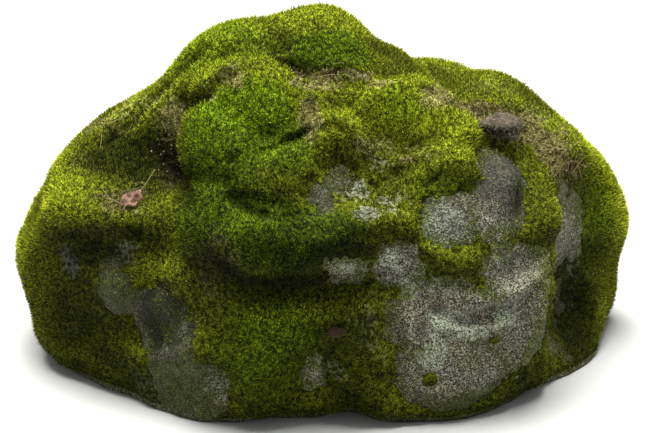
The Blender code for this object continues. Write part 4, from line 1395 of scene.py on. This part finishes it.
# --------------------------------------------------------------------- operators
class BOULDER_OT_stone(bpy.types.Operator):
    """Makes the granite boulder, with its grain, folds, lichen and green film, and painted shade by slope, in
    hollows and in darkened places
    """

    bl_idname = "boulder.stone"
    bl_label = "Granite Boulder"

    def execute(self, context):
        remove_piece("granite_boulder")
        points, faces, _ = stone_sheet()
        cover = moss_cover(points)
        points, faces = split_where(points, faces, (cover[faces] < SHOWING).any(1))
        showing = eased(-moss_cover(points), -SHOWING, 0.0)
        rise = waves(points, STONE_FINE_GRAIN) * showing * off_ground(points)
        points = points + outward(points) * rise[:, None]
        fields = self.fields(points, faces)
        points, faces = self.with_base(points, faces)
        fields = {name: np.append(values, values.min()) for name, values in fields.items()}
        mesh = new_mesh("granite_boulder", points, faces, fields)
        add_piece("granite_boulder", mesh, stone_material(), ["boulder"])
        return {"FINISHED"}

    def fields(self, points, faces):
        """Where lichen and green film are on the stone, and its shade field: painted shade on downward slopes,
        in darkened places and in hollows, and painted light on ridges.
        """
        raised = (relief(points, faces, STONE_ROUNDS) * outward(points)).sum(1)
        ragged = waves(points, STONE_RAGGED)
        near_moss = eased(moss_cover(points), *NEAR_MOSS)
        # Painted shade: the stone is painted darker in the darkened places listed above and on downward slopes.
        damp = in_spots(points, DARKENED_STONE, 0.5 * ragged)
        light = stone_light(vertex_normals(points, faces)) * (1 - 0.6 * damp)
        return {
            "lichen": in_spots(points, LICHEN, ragged, 0.0) + 0.20 * eased(ragged, 0.0, 0.5),
            "film": np.maximum(in_spots(points, FILM, ragged, 0.0), 0.70 * near_moss),
            # Painted shade in the stone's hollows and painted light on its ridges.
            "shade": light * np.exp(STONE_PAINTED_SHADE * raised).clip(0.40, 1.35),
        }

    def with_base(self, points, faces):
        """Closes the stone with a flat base, a fan round the foot of HEART."""
        _, which, uses = edge_list(faces)
        foot = len(points)
        points = np.concatenate([points, [(HEART[0], HEART[1], 0.0)]])
        turned = []
        for side in range(3):
            open_faces = faces[uses[which[:, side]] == 1]
            a, b = open_faces[:, side], open_faces[:, (side + 1) % 3]
            turned.append(np.stack([b, a, np.full(len(a), foot)], 1))
        return points, np.concatenate([faces, *turned])


class BOULDER_OT_moss_mat(bpy.types.Operator):
    """Makes the mat of moss that lies on the stone, with its cushions and folds"""

    bl_idname = "boulder.moss_mat"
    bl_label = "Moss Mat"

    def execute(self, context):
        remove_piece("moss_mat")
        under, top, kept, rim, fields = moss_sheets()
        count = len(under)
        a, b = rim.T
        walls = [np.stack([b + count, a + count, a], 1), np.stack([b + count, a, b], 1)]
        faces = np.concatenate([kept + count, kept[:, ::-1], *walls])
        both = {name: np.tile(fields[name], 2) for name in GROWN}
        mesh = new_mesh("moss_mat", np.concatenate([under, top]), faces, both)
        add_piece("moss_mat", mesh, mat_material(), ["moss_blanket"])
        return {"FINISHED"}


def tuft_sheet(name):
    """A small cushion of moss on the bare stone: points, triangles, growth."""
    place, half = spot(TUFTS[name])
    ball = bmesh.new()
    bmesh.ops.create_icosphere(ball, subdivisions=4, radius=1.0)
    bmesh.ops.recalc_face_normals(ball, faces=ball.faces)
    rounds = np.array([v.co for v in ball.verts])
    faces = np.array([[v.index for v in f.verts] for f in ball.faces])
    ball.free()
    points = place + rounds * half * TUFT_SHARE
    points += rounds * waves(points, TUFT_GRAIN)[:, None]
    inside = np.full(len(points), RIM_WIDTH)
    growth = moss_growth(points, vertex_normals(points, faces), inside)
    growth["dead"] = growth["dead"] * 0.3
    growth["crust"] = growth["crust"] * 0.0
    return points, faces, growth


class BOULDER_OT_tufts(bpy.types.Operator):
    """Makes the small tufts of moss that grow on the bare stone, apart from the mat"""

    bl_idname = "boulder.tufts"
    bl_label = "Moss Tufts"

    def execute(self, context):
        for name in TUFTS:
            remove_piece(name + "_cushion")
            points, faces, growth = tuft_sheet(name)
            fields = {field: growth[field] for field in GROWN}
            mesh = new_mesh(name + "_cushion", points, faces, fields)
            add_piece(name + "_cushion", mesh, mat_material(), [name])
        return {"FINISHED"}


def joined_bed(name, sheets):
    """One bed mesh for things to grow on, from several sheets of points, triangles and growth."""
    points, faces, start = [], [], 0
    for sheet_points, sheet_faces, _ in sheets:
        points.append(sheet_points)
        faces.append(sheet_faces + start)
        start += len(sheet_points)
    fields = {field: np.concatenate([growth[field] for _, _, growth in sheets]) for field in sheets[0][2]}
    return new_mesh(name, np.concatenate(points), np.concatenate(faces), fields)


class BOULDER_OT_shoots(bpy.types.Operator):
    """Grows the moss's shoots on the mat and the tufts, and moss that creeps out over the stone"""

    bl_idname = "boulder.shoots"
    bl_label = "Moss Shoots"

    def execute(self, context):
        moss = context.scene.boulder_moss
        _, top, kept, _, growth = moss_sheets()
        bed = joined_bed("moss_bed", [(top, kept, growth), *map(tuft_sheet, TUFTS)])
        for name, (per_metre, width, length, *rest) in GROWTHS.items():
            growth_now = (per_metre * moss.density, width, length * moss.length, *rest)
            self.grow(name, bed, growth_now, 0.0012)
        bed = new_mesh("creeping_bed", *self.creeping_bed())
        self.grow("moss_shoots_creeping", bed, CREEPING, 0.0008)
        return {"FINISHED"}

    def grow(self, name, bed, growth, sink):
        remove_piece(name)
        mesh = grown(name, bed, "shoots", growth, sink, shoot_material())
        lay_out_shoots(mesh)
        add_piece(name, mesh)

    def creeping_bed(self):
        """The bare stone near the mat's rim and where the green film is thick."""
        points, faces, _ = stone_sheet()
        normals = vertex_normals(points, faces)
        cover = moss_cover(points)
        ragged = waves(points, CREEP_RAGGED)
        near = eased(cover, -CREEP_WIDTH, 0.0)
        film = in_spots(points, FILM, ragged, 0.0) * 0.8
        patchy = eased(np.maximum(near, film) + 1.3 * ragged, 0.25, 1.15) * (points[:, 2] > HEM_HEIGHT)
        growth = moss_growth(points, normals, patchy * 0.4 * RIM_WIDTH)
        growth["density"] = patchy * (cover < 0.004)
        growth["dead"] = growth["dead"] * 0.5
        growth["crust"] = 0.4 * (1 - patchy)
        return cut_out(points, faces, (growth["density"][faces] > SPARSE).any(1), growth)


class BOULDER_OT_lichen(bpy.types.Operator):
    """Grows the crumbs of lichen that stand out of the bare stone"""

    bl_idname = "boulder.lichen"
    bl_label = "Lichen Crust"

    def execute(self, context):
        remove_piece("lichen_crumbs")
        points, faces, _ = stone_sheet()
        ragged = waves(points, STONE_RAGGED)
        lichen = in_spots(points, LICHEN, ragged, 0.0)
        # Painted shade for the crumbs: darker in the darkened places and on downward slopes.
        damp = in_spots(points, DARKENED_STONE, 0.5 * ragged)
        density = eased(lichen + 0.4 * ragged, 0.35, 0.85) * (moss_cover(points) < 0)
        shade = stone_light(vertex_normals(points, faces)) * (1 - 0.5 * damp)
        fields = {"density": density, "long": np.ones(len(points)), "shade": shade}
        bed = new_mesh("lichen_bed", *cut_out(points, faces, (density[faces] > SPARSE).any(1), fields))
        mesh = grown("lichen_crumbs", bed, "crumbs", CRUMBS, 0.0004, crumb_material())
        add_piece("lichen_crumbs", mesh)
        return {"FINISHED"}


def weathered(node, rounds, grain):
    """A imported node's mesh, smoothed and given a finer grain."""
    points, faces = merged(node)
    for _ in range(rounds):
        points, faces = smoothed(points, faces)
    points = points + vertex_normals(points, faces) * waves(points, grain)[:, None]
    return points, faces


class BOULDER_OT_loose_stone(bpy.types.Operator):
    """Makes the loose stone that lies on the right shoulder"""

    bl_idname = "boulder.loose_stone"
    bl_label = "Loose Stone"

    def execute(self, context):
        remove_piece("loose_stone_weathered")
        points, faces = weathered("loose_stone", 2, LOOSE_GRAIN)
        # Painted highlight on the upward faces of the loose stone.
        fields = {"top": 0.9 * eased(vertex_normals(points, faces)[:, 2], 0.1, 0.9)}
        mesh = new_mesh("loose_stone_weathered", points, faces, fields)
        add_piece("loose_stone_weathered", mesh, loose_material(), ["loose_stone"])
        return {"FINISHED"}


class BOULDER_OT_bark(bpy.types.Operator):
    """Makes the scrap of bark that is caught low on the front"""

    bl_idname = "boulder.bark"
    bl_label = "Scrap of Bark"

    def execute(self, context):
        remove_piece("bark_scrap")
        points, faces = weathered("bark_chip", 2, BARK_GRAIN)
        add_piece("bark_scrap", new_mesh("bark_scrap", points, faces), bark_material(), ["bark_chip"])
        return {"FINISHED"}


def on_the_moss(places, lift):
    """The places moved onto the moss, lifted off the mat, and the mat's directions there."""
    _, top, kept, _, _ = moss_sheets()
    mat = BVHTree.FromPolygons(top.tolist(), kept.tolist())
    found = [mat.find_nearest(Vector(place)) for place in places]
    normals = np.array([normal for _, normal, _, _ in found])
    return np.array([point for point, _, _, _ in found]) + normals * lift, normals


def twig_mesh(name):
    """A thin bent twig that lies on the moss."""
    share = np.linspace(0, 2, 13)
    line = np.stack([np.interp(share, range(3), axis) for axis in np.array(TWIG).T], 1)
    line, _ = on_the_moss(line, LITTER_LIFT)
    for _ in range(3):
        line[1:-1] = (line[:-2] + line[1:-1] * 2 + line[2:]) / 4
    angles = np.arange(6) * math.tau / 6
    along = np.gradient(line, axis=0)
    along /= np.linalg.norm(along, axis=1)[:, None]
    side = np.cross(along, (0.0, 0.0, 1.0))
    side /= np.linalg.norm(side, axis=1)[:, None]
    thick = TWIG_THICK / 2 * np.linspace(1.2, 0.5, len(line))
    across, up = np.cos(angles)[:, None], np.sin(angles)[:, None]
    rings = [
        place + half * (across * aside + up * np.cross(onward, aside))
        for place, half, onward, aside in zip(line, thick, along, side)
    ]
    faces = []
    for ring in range(len(line) - 1):
        for step in range(6):
            a, b = ring * 6 + step, ring * 6 + (step + 1) % 6
            faces.append((a, b, b + 6, a + 6))
    faces += [tuple(range(5, -1, -1)), tuple(range(len(line) * 6 - 6, len(line) * 6))]
    points = np.concatenate(rings)
    return new_mesh(name, points, faces, {"tone": np.full(len(points), 0.45)})


def leaf_mesh(name):
    """A torn, curled scrap of leaf that lies on the moss."""
    (middle, half, turn), around, rings = LEAF, LEAF_ROUND, LEAF_RINGS
    angles = np.arange(around) * math.tau / around
    edge = np.stack([np.cos(angles), np.sin(angles), angles * 0], 1)
    torn = 0.9 + 0.50 * waves(edge, LEAF_TORN)
    spots = [(0.0, 0.0)]
    for ring in range(1, rings + 1):
        reach = ring / rings * (torn if ring == rings else 1 + (torn - 1) * ring / rings)
        spots += list(zip(np.cos(angles) * reach * half[0], np.sin(angles) * reach * half[1]))
    flat = np.array(spots)
    across = np.array((math.cos(turn), 0.0, math.sin(turn)))
    up = np.array((-math.sin(turn), 0.0, math.cos(turn)))
    places, (facing,) = on_the_moss([middle], LITTER_LIFT)
    facing = facing + LEAF_TILT
    facing /= np.linalg.norm(facing)
    across -= facing * (across @ facing)
    up -= facing * (up @ facing)
    top = places[0] + facing * LEAF_LIFT + flat[:, :1] * across + flat[:, 1:] * up
    top = top + facing * waves(top, LEAF_CURL)[:, None]
    faces = [(0, 1 + step, 1 + (step + 1) % around) for step in range(around)]
    for ring in range(rings - 1):
        for step in range(around):
            a, b = 1 + ring * around + step, 1 + ring * around + (step + 1) % around
            faces.append((a, a + around, b + around, b))
    count = len(top)
    under = top - facing * LEAF_THICK
    closed = faces + [tuple(i + count for i in reversed(face)) for face in faces]
    last = 1 + (rings - 1) * around
    for step in range(around):
        a, b = last + step, last + (step + 1) % around
        closed.append((a, a + count, b + count, b))
    return new_mesh(name, np.concatenate([top, under]), closed)


class BOULDER_OT_litter(bpy.types.Operator):
    """Strews needles and crumbs of bark over the moss, with a twig and a scrap of leaf"""

    bl_idname = "boulder.litter"
    bl_label = "Fallen Litter"

    def execute(self, context):
        _, top, kept, _, growth = moss_sheets()
        density = in_spots(top, FALLEN, waves(top, FALLEN_RAGGED), 0.2)
        fields = {"density": density, "long": np.ones(len(top)), "shade": growth["shade"]}
        bed = new_mesh("litter_bed", *cut_out(top, kept, (density[kept] > 2 * SPARSE).any(1), fields))
        for name, shape, growing, lift in (
            ("fallen_needles", "needles", NEEDLES, LITTER_LIFT),
            ("fallen_crumbs", "crumbs", DRY_CRUMBS, LITTER_LIFT * 0.6),
        ):
            remove_piece(name)
            add_piece(name, grown(name, bed, shape, growing, -lift, litter_material()))
        for name, maker, material in (
            ("fallen_twig", twig_mesh, litter_material),
            ("leaf_scrap", leaf_mesh, leaf_material),
        ):
            remove_piece(name)
            add_piece(name, maker(name), material())
        return {"FINISHED"}


class BOULDER_OT_stage(bpy.types.Operator):
    """Makes the plain floor, the soft light and the camera"""

    bl_idname = "boulder.stage"
    bl_label = "Stage"

    LOOK_AT = Vector(PEG) + Vector((0, 0, 0.272))
    FLOOR_HALF = 12.0

    def execute(self, context):
        stage = context.scene.boulder_stage
        self.floor(stage)
        self.light(context.scene, stage)
        self.camera(context.scene, stage)
        context.scene.view_settings.view_transform = "Standard"
        return {"FINISHED"}

    def floor(self, stage):
        remove_piece("floor")
        half = self.FLOOR_HALF
        corners = np.array([(-half, -half, 0), (half, -half, 0), (half, half, 0), (-half, half, 0)])
        mesh = new_mesh("floor", corners - (0, 0, 0.0005), np.array([(0, 1, 2, 3)]))
        material, build, surface = surfaced("floor", 0.9, 0.1)
        build.put(surface.inputs["Base Color"], opaque(stage.floor))
        mesh.materials.append(material)
        floor = bpy.data.objects.new("floor", mesh)
        bpy.context.scene.collection.objects.link(floor)

    def light(self, scene, stage):
        world = bpy.data.worlds.new("room")
        world.use_nodes = True
        scene.world = world
        sky = world.node_tree.nodes["Background"]
        sky.inputs["Color"].default_value = (0.93, 0.97, 1.0, 1.0)
        sky.inputs["Strength"].default_value = stage.sky
        remove_piece("overhead")
        lamp = bpy.data.lights.new("overhead", "AREA")
        lamp.energy, lamp.shape, lamp.size = stage.overhead, "DISK", 4.6
        lamp.color = (1.0, 0.985, 0.95)
        light = bpy.data.objects.new("overhead", lamp)
        light.location = (-0.4, 0.9, 4.6)
        aim = self.LOOK_AT - light.location
        light.rotation_euler = aim.to_track_quat("-Z", "Y").to_euler()
        scene.collection.objects.link(light)

    def camera(self, scene, stage):
        remove_piece("camera")
        lens = bpy.data.cameras.new("camera")
        lens.lens, lens.sensor_width = stage.lens, 36.0
        camera = bpy.data.objects.new("camera", lens)
        back = Vector((0, -math.cos(stage.elevation), math.sin(stage.elevation)))
        camera.location = self.LOOK_AT + back * stage.distance
        camera.rotation_euler = (-back).to_track_quat("-Z", "Y").to_euler()
        scene.collection.objects.link(camera)
        scene.camera = camera


class BOULDER_PT_panel(bpy.types.Panel):
    """Lists the boulder's pieces"""

    bl_idname = "BOULDER_PT_panel"
    bl_label = "Mossy Boulder"
    bl_space_type = "VIEW_3D"
    bl_region_type = "UI"
    bl_category = "Boulder"

    def draw(self, context):
        for operator in OPERATORS:
            self.layout.operator(operator.bl_idname)
        for name, settings in SETTINGS.items():
            box = self.layout.box()
            box.label(text=name.replace("_", " ").title())
            for key in settings.__annotations__:
                box.prop(getattr(context.scene, name), key)


SETTINGS = {
    "boulder_stone": BoulderStone,
    "boulder_moss": BoulderMoss,
    "boulder_litter": BoulderLitter,
    "boulder_stage": BoulderStage,
}
OPERATORS = (
    BOULDER_OT_stage,
    BOULDER_OT_stone,
    BOULDER_OT_moss_mat,
    BOULDER_OT_tufts,
    BOULDER_OT_shoots,
    BOULDER_OT_lichen,
    BOULDER_OT_loose_stone,
    BOULDER_OT_bark,
    BOULDER_OT_litter,
)


def register():
    for kind in (*SETTINGS.values(), *OPERATORS, BOULDER_PT_panel):
        bpy.utils.register_class(kind)
    for name, settings in SETTINGS.items():
        setattr(bpy.types.Scene, name, PointerProperty(type=settings))


def unregister():
    for name in SETTINGS:
        delattr(bpy.types.Scene, name)
    for kind in reversed((*SETTINGS.values(), *OPERATORS, BOULDER_PT_panel)):
        bpy.utils.unregister_class(kind)


def main():
    register()
    for operator in OPERATORS:
        family, action = operator.bl_idname.split(".")
        getattr(getattr(bpy.ops, family), action)()


if __name__ == "__main__":
    main()
